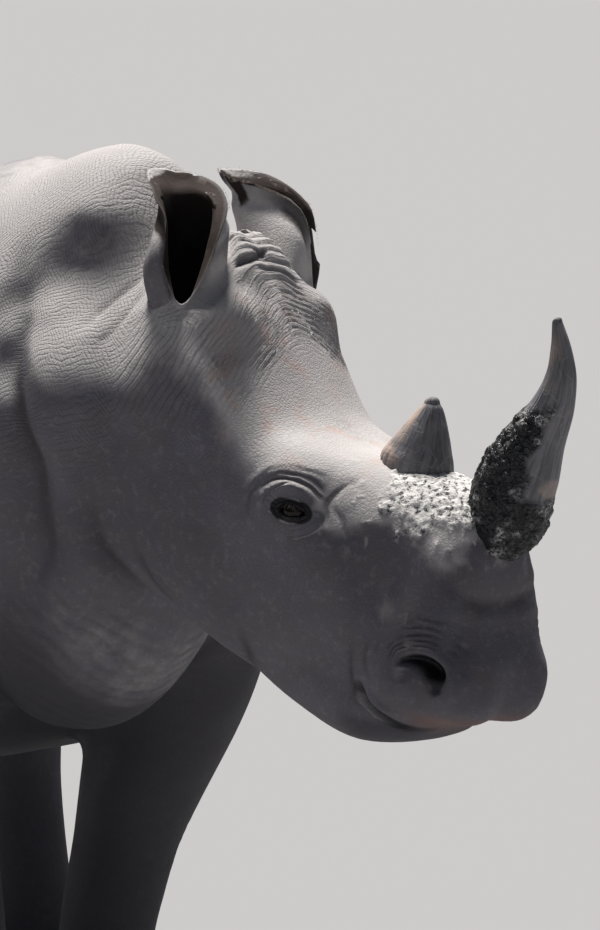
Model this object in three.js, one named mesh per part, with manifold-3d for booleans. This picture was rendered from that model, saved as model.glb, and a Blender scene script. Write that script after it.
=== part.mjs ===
// White rhinoceros, adult cow, standing in mid step with her head turned to her left and carried low.
// Life size. Millimetres, +X the way the body faces, +Y its left, +Z up; the origin is on the floor under the
// middle of the bounding box.
import * as THREE from "three";
import { mergeVertices } from "three/addons/utils/BufferGeometryUtils.js";
import Module from "manifold-3d";

const wasm = await Module();
wasm.setup();

// ---- Driving dimensions ----
const GAP = 0.3; // clearance between neighbouring pieces
const BELLY_HALF_WIDTH = 540;
// Each pair of legs: where it hangs straight down, the height its stride swings from, and the foot's
// half sizes.
const FORE = { x: 585, hip: 1050, half: { x: 120, y: 118 } };
const HIND = { x: -850, hip: 1150, half: { x: 110, y: 108 } };
// How far each foot is ahead of where the leg hangs straight, and out from the body's middle plane.
const FEET = {
  fore_left: { stride: -260, track: 130 },
  fore_right: { stride: 90, track: 175 },
  hind_left: { stride: 420, track: 240 },
  hind_right: { stride: -170, track: 215 },
};
const POLL = { x: 1180, z: 1587 }; // top of the head, between the ears, before the neck is turned
const NECK_TURN = THREE.MathUtils.degToRad(33); // how far the head is turned to the left
const HEAD_DIP = THREE.MathUtils.degToRad(3.5); // how much lower the muzzle hangs than in the sections below
const HEAD_ROLL = THREE.MathUtils.degToRad(3); // how far the crown leans to the left
const TURN_START = 640; // the neck bends between these two stations
const TURN_END = 1160;
const ROLL_HEIGHT = 1330; // height of the line that the head rolls about
const EYE_RADIUS = 19;
const EYE = { x: 272, y: 146, z: -360 }; // from the poll
const EAR_ROOT = { x: -18, y: 110, z: -120 }; // from the poll
const EAR_TURN = 0.7; // how far the ears open to the side, from straight ahead
const NAIL_SPREAD = THREE.MathUtils.degToRad(58); // between one toenail and the next, round the foot
const NAIL_LEAN = -0.35; // how far a toenail's face leans back
const NAIL_SIZES = { middle: new THREE.Vector3(24, 52, 46), outer: new THREE.Vector3(22, 42, 40) };
const NAIL_GAP_TO_FLOOR = 3;
const FAR = 4000; // longer than the animal, for slabs that cut right through

// ---- Solids ----

// The geometry with its shared vertices merged and smooth normals.
function merge(geometry) {
  const bare = geometry.clone();
  bare.deleteAttribute("normal");
  bare.deleteAttribute("uv");
  const merged = mergeVertices(bare, 1e-3);
  merged.computeVertexNormals();
  return merged;
}

function move(geometry, place) {
  const position = geometry.attributes.position;
  const point = new THREE.Vector3();
  for (let i = 0; i < position.count; i++) {
    place(point.fromBufferAttribute(position, i), i);
    position.setXYZ(i, point.x, point.y, point.z);
  }
  return geometry;
}

// A closed mesh as a manifold-3d solid, thicker all round by grow.
function solidOf(geometry, grow = 0) {
  const merged = merge(geometry);
  const normals = merged.attributes.normal.clone();
  const normal = new THREE.Vector3();
  move(merged, (point, i) => point.addScaledVector(normal.fromBufferAttribute(normals, i), grow));
  const vertProperties = merged.attributes.position.array;
  const triVerts = new Uint32Array(merged.index.array);
  return new wasm.Manifold(new wasm.Mesh({ numProp: 3, vertProperties, triVerts }));
}

function geometryOf(solid) {
  const { vertProperties, triVerts } = solid.getMesh();
  const geometry = new THREE.BufferGeometry();
  geometry.setAttribute("position", new THREE.BufferAttribute(new Float32Array(vertProperties), 3));
  geometry.setIndex(new THREE.BufferAttribute(new Uint32Array(triVerts), 1));
  return geometry.toNonIndexed();
}

// The biggest of the bodies a cut leaves, so that no crumb stays with it.
function mainBody(solid) {
  return solid.decompose().reduce((most, body) => (body.volume() > most.volume() ? body : most));
}

// ---- Lofted flesh ----

// One section of a limb, given by the two ends of its outline in the side view.
// a and b are those ends as [x, z]; half is its half width, square its corner exponent (2 is an ellipse),
// wide how far from b towards a it is widest, and y how far its middle lies to the left.
function section(a, b, half, { square = 2.15, wide = 0.5, y = 0 } = {}) {
  return [...a, ...b, half, square, wide, y];
}

// A closed skin over a row of sections, smooth from each to the next.
function loft(sections, sides, rings = 2) {
  const columns = sections[0].length;
  const track = new THREE.CubicInterpolant(sections.map((_, i) => i), sections.flat(), columns);
  const count = (sections.length - 1) * rings + 1;
  const first = sections[0];
  const last = sections.at(-1);
  // The rings run one way or the other round, so that the skin faces out.
  const run = [last[0] - first[0], last[1] - first[1]];
  const span = [last[0] - last[2], last[1] - last[3]];
  const hand = Math.sign(run[1] * span[0] - run[0] * span[1]);
  const geometry = new THREE.SphereGeometry(1, sides, count + 1);
  const uv = geometry.attributes.uv;
  const power = (value, exponent) => Math.sign(value) * Math.abs(value) ** exponent;
  move(geometry, (point, i) => {
    const row = Math.round((1 - uv.getY(i)) * (count + 1));
    const isPole = row === 0 || row === count + 1;
    const ring = THREE.MathUtils.clamp(row - 1, 0, count - 1);
    const [ax, az, bx, bz, half, square, wide, y] = track.evaluate(ring / rings);
    const height = Math.hypot(ax - bx, az - bz);
    const up = new THREE.Vector3(ax - bx, 0, az - bz).divideScalar(height);
    const angle = uv.getX(i) * 2 * Math.PI;
    const lift = Math.sin(angle);
    const rise = isPole ? 0 : (lift > 0 ? 1 - wide : wide) * height * power(lift, 2 / square);
    const out = isPole ? 0 : half * power(Math.cos(angle), 2 / square);
    point.set(bx, y + hand * out, bz).addScaledVector(up, wide * height + rise);
  });
  return geometry;
}

// Pushes the flesh out, or in, round each of some points: { at: [x, y, z], reach, by }.
function swell(geometry, bulges) {
  const merged = merge(geometry);
  const normals = merged.attributes.normal.clone();
  const normal = new THREE.Vector3();
  const centre = new THREE.Vector3();
  return move(merged, (point, i) => {
    let push = 0;
    for (const { at, reach, by } of bulges) {
      const distance = Math.min(1, centre.fromArray(at).distanceTo(point) / reach);
      push += by * (1 - distance ** 2) ** 2;
    }
    point.addScaledVector(normal.fromBufferAttribute(normals, i), push);
  });
}

const bothSides = (bulge) => [bulge, { ...bulge, at: [bulge.at[0], -bulge.at[1], bulge.at[2]] }];

// Carries a point of the straight animal to its place once the neck is turned.
function turnNeck(point) {
  const share = THREE.MathUtils.clamp((point.x - TURN_START) / (TURN_END - TURN_START), 0, 1);
  const roll = HEAD_ROLL * share;
  const rise = point.z - ROLL_HEIGHT;
  const y = point.y * Math.cos(roll) + rise * Math.sin(roll);
  const z = rise * Math.cos(roll) - point.y * Math.sin(roll) + ROLL_HEIGHT;
  const radius = (TURN_END - TURN_START) / NECK_TURN;
  const angle = NECK_TURN * share;
  const past = point.x - TURN_START - share * (TURN_END - TURN_START);
  point.x = TURN_START + (radius - y) * Math.sin(angle) + past * Math.cos(angle);
  point.y = radius - (radius - y) * Math.cos(angle) + past * Math.sin(angle);
  point.z = z;
}

// A point of the head, given from the poll by how far forward, left and up it lies.
function fromPoll(forward, left, up) {
  const x = forward * Math.cos(HEAD_DIP) + up * Math.sin(HEAD_DIP);
  const z = up * Math.cos(HEAD_DIP) - forward * Math.sin(HEAD_DIP);
  return [POLL.x + x, left, POLL.z + z];
}

// A section of the head, with its ends given from the poll.
function headSection([forwardA, upA], [forwardB, upB], half, shape) {
  const [ax, , az] = fromPoll(forwardA, 0, upA);
  const [bx, , bz] = fromPoll(forwardB, 0, upB);
  return section([ax, az], [bx, bz], half, shape);
}

// ---- Trunk, neck and head ----

function trunkFlesh() {
  const sections = [
    section([-1185, 1300], [-1160, 1080], 110),
    section([-1150, 1450], [-1110, 900], 265),
    section([-1010, 1580], [-980, 760], 385, { wide: 0.52 }),
    section([-780, 1640], [-780, 668], 445, { wide: 0.48 }),
    section([-470, 1600], [-470, 606], BELLY_HALF_WIDTH - 30, { wide: 0.44 }),
    section([-130, 1575], [-130, 590], BELLY_HALF_WIDTH, { wide: 0.44 }),
    section([190, 1615], [190, 640], BELLY_HALF_WIDTH - 35, { wide: 0.46 }),
    section([420, 1702], [430, 715], 415, { wide: 0.46, square: 2 }),
    section([600, 1725], [640, 800], 345, { wide: 0.46, square: 2 }),
    section([760, 1640], [820, 900], 265, { wide: 0.46, square: 2 }),
    section([860, 1400], [890, 1000], 150),
  ];
  const bulges = [
    ...bothSides({ at: [430, 400, 1230], reach: 330, by: 45 }),
    ...bothSides({ at: [-790, 430, 1330], reach: 300, by: 35 }),
  ];
  return swell(loft(sections, 20), bulges);
}

function neckFlesh() {
  const sections = [
    section([400, 1560], [560, 850], 260),
    section([580, 1690], [720, 778], 300, { wide: 0.46, square: 1.9 }),
    section([730, 1728], [850, 790], 290, { wide: 0.48, square: 1.8 }),
    section([850, 1760], [960, 844], 260, { wide: 0.48, square: 1.75 }),
    section([940, 1768], [1040, 926], 230, { wide: 0.48, square: 1.75 }),
    section([1010, 1712], [1090, 1000], 202, { wide: 0.48, square: 1.75 }),
    section([1062, 1620], [1130, 1050], 178, { wide: 0.48, square: 1.9 }),
    section([1115, 1530], [1180, 1090], 150, { wide: 0.48 }),
  ];
  return move(loft(sections, 20), turnNeck);
}

function headFlesh() {
  const sections = [
    headSection([-150, -110], [-190, -420], 130),
    headSection([-85, -14], [-130, -500], 164, { wide: 0.52, square: 2.3 }),
    headSection([-5, 24], [-50, -545], 188, { wide: 0.54, square: 2.5 }),
    headSection([80, -42], [15, -580], 194, { wide: 0.54, square: 2.5 }),
    headSection([148, -140], [70, -610], 189, { wide: 0.54, square: 2.3 }),
    headSection([208, -210], [135, -638], 180, { wide: 0.58 }),
    headSection([292, -252], [215, -662], 163, { wide: 0.6 }),
    headSection([390, -274], [300, -670], 139, { wide: 0.55 }),
    headSection([480, -290], [385, -664], 126, { wide: 0.42, square: 2.4 }),
    headSection([548, -330], [458, -658], 124, { wide: 0.36, square: 2.6 }),
    headSection([570, -412], [515, -654], 126, { wide: 0.36, square: 2.8 }),
    headSection([566, -478], [556, -650], 124, { wide: 0.42, square: 2.8 }),
    headSection([600, -550], [584, -638], 104, { wide: 0.45, square: 2.8 }),
  ];
  const bulges = [
    ...bothSides({ at: fromPoll(258, 146, -300), reach: 110, by: 16 }),
    ...bothSides({ at: fromPoll(60, 190, -440), reach: 190, by: 14 }),
    ...bothSides({ at: fromPoll(480, 125, -590), reach: 110, by: 18 }),
    { at: fromPoll(240, 0, -250), reach: 150, by: -10 },
  ];
  return move(swell(loft(sections, 22), bulges), turnNeck);
}

function jawFlesh() {
  const sections = [
    headSection([120, -470], [90, -610], 90),
    headSection([220, -500], [185, -660], 112),
    headSection([310, -540], [270, -694], 114),
    headSection([380, -580], [345, -712], 110, { square: 2.4 }),
    headSection([440, -600], [410, -706], 108, { square: 2.6 }),
    headSection([490, -610], [470, -690], 100, { square: 2.8 }),
    headSection([515, -620], [502, -668], 76, { square: 2.8 }),
  ];
  return move(loft(sections, 14), turnNeck);
}

// ---- Legs ----

// Carries the lower leg forward or back, and keeps the sole level.
function step(geometry, stride, hipHeight) {
  return move(geometry, (point) => {
    point.x += stride * Math.max(0, 1 - point.z / hipHeight);
  });
}

function foreLegFlesh(side, { stride, track }) {
  const { x } = FORE;
  const shoulder = 276;
  const out = (share) => ({ y: side * THREE.MathUtils.lerp(track, shoulder, share) });
  const sections = [
    section([x + 150, 1290], [x - 190, 1260], 60, out(1)),
    section([x + 205, 1130], [x - 270, 1090], 112, out(1)),
    section([x + 205, 960], [x - 280, 910], 132, out(0.9)),
    section([x + 172, 800], [x - 250, 752], 132, out(0.7)),
    section([x + 122, 660], [x - 172, 620], 113, out(0.45)),
    section([x + 90, 540], [x - 125, 520], 94, out(0.25)),
    section([x + 86, 440], [x - 112, 428], 88, out(0.12)),
    section([x + 74, 335], [x - 100, 330], 83, out(0.04)),
    section([x + 74, 215], [x - 100, 215], 84, out(0)),
    section([x + 98, 115], [x - 112, 115], 102, out(0)),
    section([x + 122, 35], [x - 120, 35], 120, { ...out(0), square: 2.3 }),
    section([x + 118, 0], [x - 116, 0], 116, { ...out(0), square: 2.3 }),
  ];
  return step(loft(sections, 13), stride, FORE.hip);
}

function hindLegFlesh(side, { stride, track }) {
  const { x } = HIND;
  const hip = 262;
  const out = (share) => ({ y: side * THREE.MathUtils.lerp(track, hip, share) });
  const sections = [
    section([x + 250, 1330], [x - 230, 1370], 70, out(0.6)),
    section([x + 330, 1130], [x - 322, 1180], 150, out(1)),
    section([x + 330, 930], [x - 318, 1000], 165, out(1)),
    section([x + 275, 780], [x - 245, 850], 150, out(0.8)),
    section([x + 175, 660], [x - 178, 735], 118, out(0.6)),
    section([x + 80, 560], [x - 160, 640], 92, out(0.4)),
    section([x + 45, 480], [x - 162, 545], 80, out(0.25)),
    section([x + 42, 390], [x - 135, 430], 74, out(0.12)),
    section([x + 52, 290], [x - 108, 300], 74, out(0)),
    section([x + 62, 190], [x - 104, 190], 80, out(0)),
    section([x + 84, 105], [x - 110, 105], 95, out(0)),
    section([x + 112, 32], [x - 114, 32], 110, { ...out(0), square: 2.3 }),
    section([x + 108, 0], [x - 110, 0], 107, { ...out(0), square: 2.3 }),
  ];
  return step(loft(sections, 13), stride, HIND.hip);
}

// Three toenails lie round the front of a foot: a broad one in the middle and one on each side.
function nails(leg, { x, half, hip }, centreY, stride) {
  const foot = solidOf(leg, GAP);
  const floor = solidOf(new THREE.BoxGeometry(FAR, FAR, FAR).translate(0, 0, NAIL_GAP_TO_FLOOR - FAR / 2));
  return [-1, 0, 1].map((toe) => {
    const size = toe === 0 ? NAIL_SIZES.middle : NAIL_SIZES.outer;
    const nail = new THREE.SphereGeometry(1, 8, 6);
    nail.scale(size.x, size.y, size.z);
    nail.rotateY(NAIL_LEAN);
    nail.translate(half.x - size.x / 2, 0, size.z * 0.82);
    move(nail, (point) => {
      const radius = point.x;
      const swing = toe * NAIL_SPREAD + point.y / half.x;
      point.x = x + radius * Math.cos(swing);
      point.y = centreY + (half.y / half.x) * radius * Math.sin(swing);
    });
    return solidOf(step(nail, stride, hip)).subtract(foot).subtract(floor);
  });
}

// ---- Tail ----

function tailFlesh() {
  const sections = [
    section([-1120, 1440], [-1060, 1300], 45),
    section([-1175, 1420], [-1130, 1300], 52),
    section([-1222, 1330], [-1150, 1270], 44),
    section([-1240, 1210], [-1178, 1195], 33),
    section([-1240, 1060], [-1192, 1055], 26),
    section([-1234, 900], [-1196, 900], 20),
    section([-1230, 790], [-1202, 790], 15),
  ];
  return loft(sections, 10, 1);
}

function tailTuft() {
  const sections = [
    section([-1238, 870], [-1192, 870], 26),
    section([-1248, 790], [-1186, 790], 36),
    section([-1250, 700], [-1188, 700], 34),
    section([-1240, 620], [-1196, 620], 22),
    section([-1226, 570], [-1210, 570], 6),
  ];
  return loft(sections, 10, 1);
}

// ---- Horns, eyes and ears ----

// A horn's section: its middle [x, z] from the poll, its half length and its half width, tilted by lean.
function hornSection([x, z], halfLength, halfWidth, lean) {
  const along = [Math.cos(lean) * halfLength, Math.sin(lean) * halfLength];
  return headSection([x + along[0], z + along[1]], [x - along[0], z - along[1]], halfWidth);
}

function frontHorn() {
  const sections = [
    hornSection([556, -354], 62, 54, -0.6),
    hornSection([574, -312], 74, 62, -0.6),
    hornSection([590, -258], 61, 54, -0.45),
    hornSection([612, -204], 46, 42, -0.36),
    hornSection([637, -152], 33, 31, -0.2),
    hornSection([647, -106], 23, 22, 0),
    hornSection([642, -64], 15, 15, 0.15),
    hornSection([631, -28], 8, 8, 0.3),
    hornSection([625, -14], 3, 3, 0.3),
  ];
  return move(loft(sections, 12, 1), turnNeck);
}

function rearHorn() {
  const sections = [
    hornSection([384, -310], 54, 46, -0.16),
    hornSection([386, -278], 62, 54, -0.16),
    hornSection([392, -246], 49, 44, -0.1),
    hornSection([399, -214], 33, 31, 0),
    hornSection([404, -190], 21, 20, 0.1),
    hornSection([406, -176], 8, 8, 0.1),
  ];
  return move(loft(sections, 12, 1), turnNeck);
}

function eyeball(side, radius) {
  const ball = new THREE.SphereGeometry(radius, 10, 7);
  ball.rotateX(Math.PI / 2);
  ball.translate(...fromPoll(EYE.x, side * EYE.y, EYE.z));
  return move(ball, turnNeck);
}

// An ear is a flared tube open to its front (+x). The back wall rises to a tip that bends backwards, and the
// opening ends in a notch low on the front.
function earShell() {
  const outside = [
    section([34, -80], [-34, -80], 34),
    section([40, 0], [-39, 0], 40),
    section([51, 48], [-42, 48], 44),
    section([64, 95], [-45, 97], 51),
    section([72, 138], [-45, 146], 55),
    section([77, 170], [-52, 190], 56),
    section([68, 203], [-68, 222], 55),
    section([46, 228], [-86, 244], 48),
    section([12, 243], [-92, 254], 28),
  ];
  const hollow = [
    section([42, 48], [28, 48], 5),
    section([60, 72], [0, 70], 19),
    section([75, 100], [-22, 100], 35),
    section([86, 140], [-32, 146], 43),
    section([92, 174], [-40, 190], 45),
    section([83, 208], [-56, 221], 45),
    section([58, 238], [-74, 246], 38),
    section([22, 262], [-80, 262], 20),
  ];
  return solidOf(loft(outside, 13, 1)).subtract(solidOf(loft(hollow, 13, 1)));
}

function ear(side) {
  const geometry = geometryOf(earShell());
  geometry.rotateZ(side * EAR_TURN);
  geometry.translate(...fromPoll(EAR_ROOT.x, side * EAR_ROOT.y, EAR_ROOT.z));
  return solidOf(move(geometry, turnNeck));
}

// ---- Parting the whole into its pieces ----

// A slab that reaches far past the body, lying ahead of (+1) or behind (-1) a tilted plane across the neck.
function aheadOf([x, z], lean, direction, isTurned) {
  const slab = new THREE.BoxGeometry(FAR, FAR, FAR).translate((direction * (FAR - GAP)) / 2, 0, 0);
  slab.rotateY(lean);
  slab.translate(x, 0, z);
  if (isTurned) {
    const origin = new THREE.Vector3(x, 0, z);
    turnNeck(origin);
    slab.translate(-x, 0, -z).rotateZ(NECK_TURN).translate(origin.x, origin.y, origin.z);
  }
  return solidOf(slab);
}

const HEAD_CUT = [[POLL.x - 70, POLL.z - 250], 0.16];
const NECK_CUT = [[800, 1250], 0.2];
const flesh = [trunkFlesh(), neckFlesh(), headFlesh()];
const body = flesh.map((part) => solidOf(part)).reduce((whole, part) => whole.add(part));
const bodyGrown = flesh.map((part) => solidOf(part, GAP)).reduce((whole, part) => whole.add(part));
const headGrown = solidOf(headFlesh(), GAP);

const pieces = {};
pieces.trunk = { solid: body.subtract(aheadOf(...NECK_CUT, 1, false)), finish: "hide" };
pieces.neck = {
  solid: body.subtract(aheadOf(...NECK_CUT, -1, false)).subtract(aheadOf(...HEAD_CUT, 1, true)),
  finish: "hide",
};
pieces.head = { solid: body.subtract(aheadOf(...HEAD_CUT, -1, true)), finish: "hide" };
pieces.jaw = { solid: solidOf(jawFlesh()).subtract(headGrown), finish: "hide" };
for (const side of [1, -1]) {
  const name = side > 0 ? "left" : "right";
  pieces["eye_" + name] = { solid: solidOf(eyeball(side, EYE_RADIUS)), finish: "eye" };
  pieces.head.solid = pieces.head.solid.subtract(solidOf(eyeball(side, EYE_RADIUS + GAP)));
  pieces["ear_" + name] = { solid: ear(side).subtract(bodyGrown), finish: "hide" };
  for (const [limb, pair, legFlesh] of [["fore", FORE, foreLegFlesh], ["hind", HIND, hindLegFlesh]]) {
    const foot = FEET[`${limb}_${name}`];
    const leg = legFlesh(side, foot);
    pieces[`leg_${limb}_${name}`] = { solid: solidOf(leg).subtract(bodyGrown), finish: "hide" };
    nails(leg, pair, side * foot.track, foot.stride).forEach((solid, i) => {
      pieces[`nail_${limb}_${name}_${i + 1}`] = { solid, finish: "nail" };
    });
  }
}
pieces.horn_front = { solid: solidOf(frontHorn()).subtract(headGrown), finish: "horn" };
pieces.horn_rear = { solid: solidOf(rearHorn()).subtract(headGrown), finish: "horn" };
pieces.tail = { solid: solidOf(tailFlesh()).subtract(bodyGrown), finish: "hide" };
pieces.tail_tuft = { solid: solidOf(tailTuft()).subtract(solidOf(tailFlesh(), GAP)), finish: "bristle" };

// ---- The group ----

const finishes = {
  hide: new THREE.MeshStandardMaterial({ color: 0x8d8680, roughness: 0.88, metalness: 0 }),
  horn: new THREE.MeshStandardMaterial({ color: 0x6b645e, roughness: 0.6, metalness: 0 }),
  nail: new THREE.MeshStandardMaterial({ color: 0x5c544c, roughness: 0.65, metalness: 0 }),
  eye: new THREE.MeshStandardMaterial({ color: 0x1c1512, roughness: 0.12, metalness: 0 }),
  bristle: new THREE.MeshStandardMaterial({ color: 0x2a2724, roughness: 0.7, metalness: 0 }),
};

const rhinoceros = new THREE.Group();
for (const [name, { solid, finish }] of Object.entries(pieces)) {
  const mesh = new THREE.Mesh(geometryOf(mainBody(solid)), finishes[finish]);
  mesh.name = name;
  rhinoceros.add(mesh);
}
const middle = new THREE.Box3().setFromObject(rhinoceros).getCenter(new THREE.Vector3());
for (const mesh of rhinoceros.children) mesh.position.set(-middle.x, -middle.y, 0);

export default rhinoceros;
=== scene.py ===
"""White rhinoceros cow, life size, standing in mid step: the hide, eyes, horns, toenails, mud and hair."""
import math
from itertools import product

import bmesh
import bpy
import numpy as np
from bpy.props import FloatProperty, FloatVectorProperty, IntProperty, PointerProperty
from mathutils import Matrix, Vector


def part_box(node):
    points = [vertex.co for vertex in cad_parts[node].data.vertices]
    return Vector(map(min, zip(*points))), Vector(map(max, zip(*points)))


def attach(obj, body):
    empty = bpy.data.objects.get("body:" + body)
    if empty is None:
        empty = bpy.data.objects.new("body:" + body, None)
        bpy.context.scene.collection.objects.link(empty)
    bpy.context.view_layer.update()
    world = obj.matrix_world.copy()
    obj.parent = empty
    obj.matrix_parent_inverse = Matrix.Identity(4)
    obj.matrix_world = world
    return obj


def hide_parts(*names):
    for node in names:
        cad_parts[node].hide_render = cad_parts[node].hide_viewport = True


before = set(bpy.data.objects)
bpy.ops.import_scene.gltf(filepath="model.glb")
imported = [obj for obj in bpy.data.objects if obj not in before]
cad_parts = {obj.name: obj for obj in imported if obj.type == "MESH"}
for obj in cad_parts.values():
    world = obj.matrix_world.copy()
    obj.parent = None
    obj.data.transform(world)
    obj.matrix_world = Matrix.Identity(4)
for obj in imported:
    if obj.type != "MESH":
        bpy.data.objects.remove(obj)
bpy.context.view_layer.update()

bl_info = {
    "name": "White Rhinoceros",
    "version": (1, 0, 0),
    "blender": (4, 5, 0),
    "location": "3D View > Sidebar > Rhino",
    "description": "Dresses the rhinoceros solids with hide, eyes, horns, toenails, mud and hair",
    "category": "Object",
}

LEGS = ("fore_left", "fore_right", "hind_left", "hind_right")
FLESH = ("trunk", "neck", "head", "jaw", *("leg_" + leg for leg in LEGS), "tail")
EARS = ("ear_left", "ear_right")
SIDES = {"right": -1, "left": 1}

# The pose, in millimetres and radians, as the solids were turned.
ORIGIN_AHEAD = 228.03  # the frame's origin lies this far ahead of the body's own zero
POLL = (1180.0, 1587.0)
NECK_TURN, HEAD_DIP, HEAD_ROLL = map(math.radians, (33.0, 3.5, 3.0))
TURN_START, TURN_END, ROLL_HEIGHT = 640.0, 1160.0, 1330.0
TURN_RADIUS = (TURN_END - TURN_START) / NECK_TURN
EYE = np.array((272.0, 146.0, -360.0))  # forward, left and up from the poll, as all head places are
EAR_ROOT = np.array((-18.0, 110.0, -120.0))
EAR_TURN = 0.7


# ---- Places: the frame, the straightened animal, and the head ----

def bend_neck(points):
    """Points of the straightened animal, in millimetres, carried to their places in the frame."""
    x, y, z = points.T
    share = np.clip((x - TURN_START) / (TURN_END - TURN_START), 0, 1)
    roll, rise = HEAD_ROLL * share, z - ROLL_HEIGHT
    side = y * np.cos(roll) + rise * np.sin(roll)
    height = rise * np.cos(roll) - y * np.sin(roll) + ROLL_HEIGHT
    angle, past = NECK_TURN * share, x - TURN_START - share * (TURN_END - TURN_START)
    reach = TURN_RADIUS - side
    return np.stack([
        TURN_START + reach * np.sin(angle) + past * np.cos(angle) - ORIGIN_AHEAD,
        TURN_RADIUS - reach * np.cos(angle) + past * np.sin(angle),
        height], -1)


def straighten(points):
    """The same back again: places in the frame to places in the straightened animal."""
    dx, dy = points[:, 0] + ORIGIN_AHEAD - TURN_START, TURN_RADIUS - points[:, 1]
    share = np.clip(np.arctan2(dx, dy) / NECK_TURN, 0, 1)
    angle = NECK_TURN * share
    side = TURN_RADIUS - dx * np.sin(angle) - dy * np.cos(angle)
    past = dx * np.cos(angle) - dy * np.sin(angle)
    roll, rise = HEAD_ROLL * share, points[:, 2] - ROLL_HEIGHT
    return np.stack([
        TURN_START + share * (TURN_END - TURN_START) + past,
        side * np.cos(roll) - rise * np.sin(roll),
        ROLL_HEIGHT + rise * np.cos(roll) + side * np.sin(roll)], -1)


def to_head(straight):
    """Places in the straightened animal as forward, left and up from the poll."""
    x, z = straight[:, 0] - POLL[0], straight[:, 2] - POLL[1]
    return np.stack([x * math.cos(HEAD_DIP) - z * math.sin(HEAD_DIP), straight[:, 1],
                     x * math.sin(HEAD_DIP) + z * math.cos(HEAD_DIP)], -1)


def from_poll(places):
    """Forward, left and up from the poll, as places in the straightened animal."""
    forward, left, up = np.atleast_2d(np.asarray(places, float)).T
    return np.stack([POLL[0] + forward * math.cos(HEAD_DIP) + up * math.sin(HEAD_DIP), left,
                     POLL[1] + up * math.cos(HEAD_DIP) - forward * math.sin(HEAD_DIP)], -1)


def from_head(places):
    """Forward, left and up from the poll, as places in the frame."""
    return bend_neck(from_poll(places))


# ---- Curves and fields ----

def ramp(low, high, value):
    """0 below low, 1 above high, smooth between them; low may be the greater."""
    t = np.clip((np.asarray(value, float) - low) / (high - low), 0, 1)
    return t * t * (3 - 2 * t)


def hump(centre, reach, value):
    """1 at centre, falling smoothly to 0 at reach on each side."""
    return ramp(reach, 0, np.abs(np.asarray(value, float) - centre))


def noise(points, seed=0):
    """Smooth noise from -1 to 1, with one cell to a unit."""
    cell = np.floor(points).astype(np.int64)
    share = points - cell
    share = share * share * (3 - 2 * share)
    total = np.zeros(len(points))
    for corner in product((0, 1), repeat=3):
        key = (cell + corner) @ np.array((73856093, 19349663, 83492791)) + seed * 7919
        key = ((key ^ (key >> 13)) * 1274126177) & 0x7FFFFFFF
        key = ((key ^ (key >> 15)) * 73244475) & 0x7FFFFFFF
        weight = np.prod(np.where(corner, share, 1 - share), axis=1)
        total += weight * (key / 0x3FFFFFFF - 1)
    return total


def rough(points, seed=0, octaves=3):
    """Noise with finer noise over it."""
    return sum(noise(points * 2 ** k, seed + k) / 2 ** k for k in range(octaves))


def path_distance(points, path):
    """Distance of points to a line through some places, and how far along it (0 to 1) each is nearest."""
    path = np.asarray(path, float)
    best, along = np.full(len(points), 1e9), np.zeros(len(points))
    for k, (a, b) in enumerate(zip(path[:-1], path[1:])):
        run = b - a
        if not run.any():
            continue
        t = np.clip((points - a) @ run / (run @ run), 0, 1)
        distance = np.linalg.norm(points - a - t[:, None] * run, axis=1)
        closer = distance < best
        best = np.where(closer, distance, best)
        along = np.where(closer, (k + t) / (len(path) - 1), along)
    return best, along


def smooth_path(places, count=24):
    """A smooth line through some places, as count points."""
    places = np.asarray(places, float)
    steps = np.linspace(0, len(places) - 1, count)
    padded = np.vstack([2 * places[0] - places[1], places, 2 * places[-1] - places[-2]])
    k = np.minimum(steps.astype(int), len(places) - 2)
    t = (steps - k)[:, None]
    p0, p1, p2, p3 = (padded[k + i] for i in range(4))
    return 0.5 * (2 * p1 + (p2 - p0) * t + (2 * p0 - 5 * p1 + 4 * p2 - p3) * t ** 2
                  + (3 * p1 - p0 - 3 * p2 + p3) * t ** 3)


def table(stations, values, at):
    """Values at stations, smoothly joined."""
    stations, values = np.asarray(stations, float), np.asarray(values, float)
    slope = np.gradient(values, stations)
    k = np.clip(np.searchsorted(stations, at) - 1, 0, len(stations) - 2)
    span = stations[k + 1] - stations[k]
    t = np.clip((at - stations[k]) / span, 0, 1)
    return ((2 * t ** 3 - 3 * t ** 2 + 1) * values[k] + (t ** 3 - 2 * t ** 2 + t) * span * slope[k]
            + (3 * t ** 2 - 2 * t ** 3) * values[k + 1] + (t ** 3 - t ** 2) * span * slope[k + 1])


# ---- Meshes ----

def only(ob):
    """Leaves ob as the one selected and active object."""
    bpy.ops.object.select_all(action="DESELECT")
    ob.select_set(True)
    bpy.context.view_layer.objects.active = ob
    return ob


def in_edit_mode(ob, *steps):
    """Runs edit-mode operators, each given with its settings, on ob with its whole mesh selected at first."""
    only(ob)
    bpy.ops.object.mode_set(mode="EDIT")
    bpy.ops.mesh.select_all(action="SELECT")
    for operator, settings in steps:
        operator(**settings)
    bpy.ops.object.mode_set(mode="OBJECT")
    return ob


def copy_nodes(name, nodes):
    """The named solids as one new object, with their shared corners merged."""
    parts = [bpy.data.objects.new(node + "_copy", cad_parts[node].data.copy()) for node in nodes]
    for part in parts:
        bpy.context.scene.collection.objects.link(part)
    whole = only(parts[0])
    if len(parts) > 1:
        for part in parts:
            part.select_set(True)
        bpy.ops.object.join()
    whole.name = whole.data.name = name
    whole.data.materials.clear()
    in_edit_mode(whole, (bpy.ops.mesh.remove_doubles, {"threshold": 1e-5}))
    stored = whole.data.attributes
    for key in {"sharp_face", "custom_normal"} & set(stored.keys()):
        stored.remove(stored[key])
    while whole.data.uv_layers:
        whole.data.uv_layers.remove(whole.data.uv_layers[0])
    return whole


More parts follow.
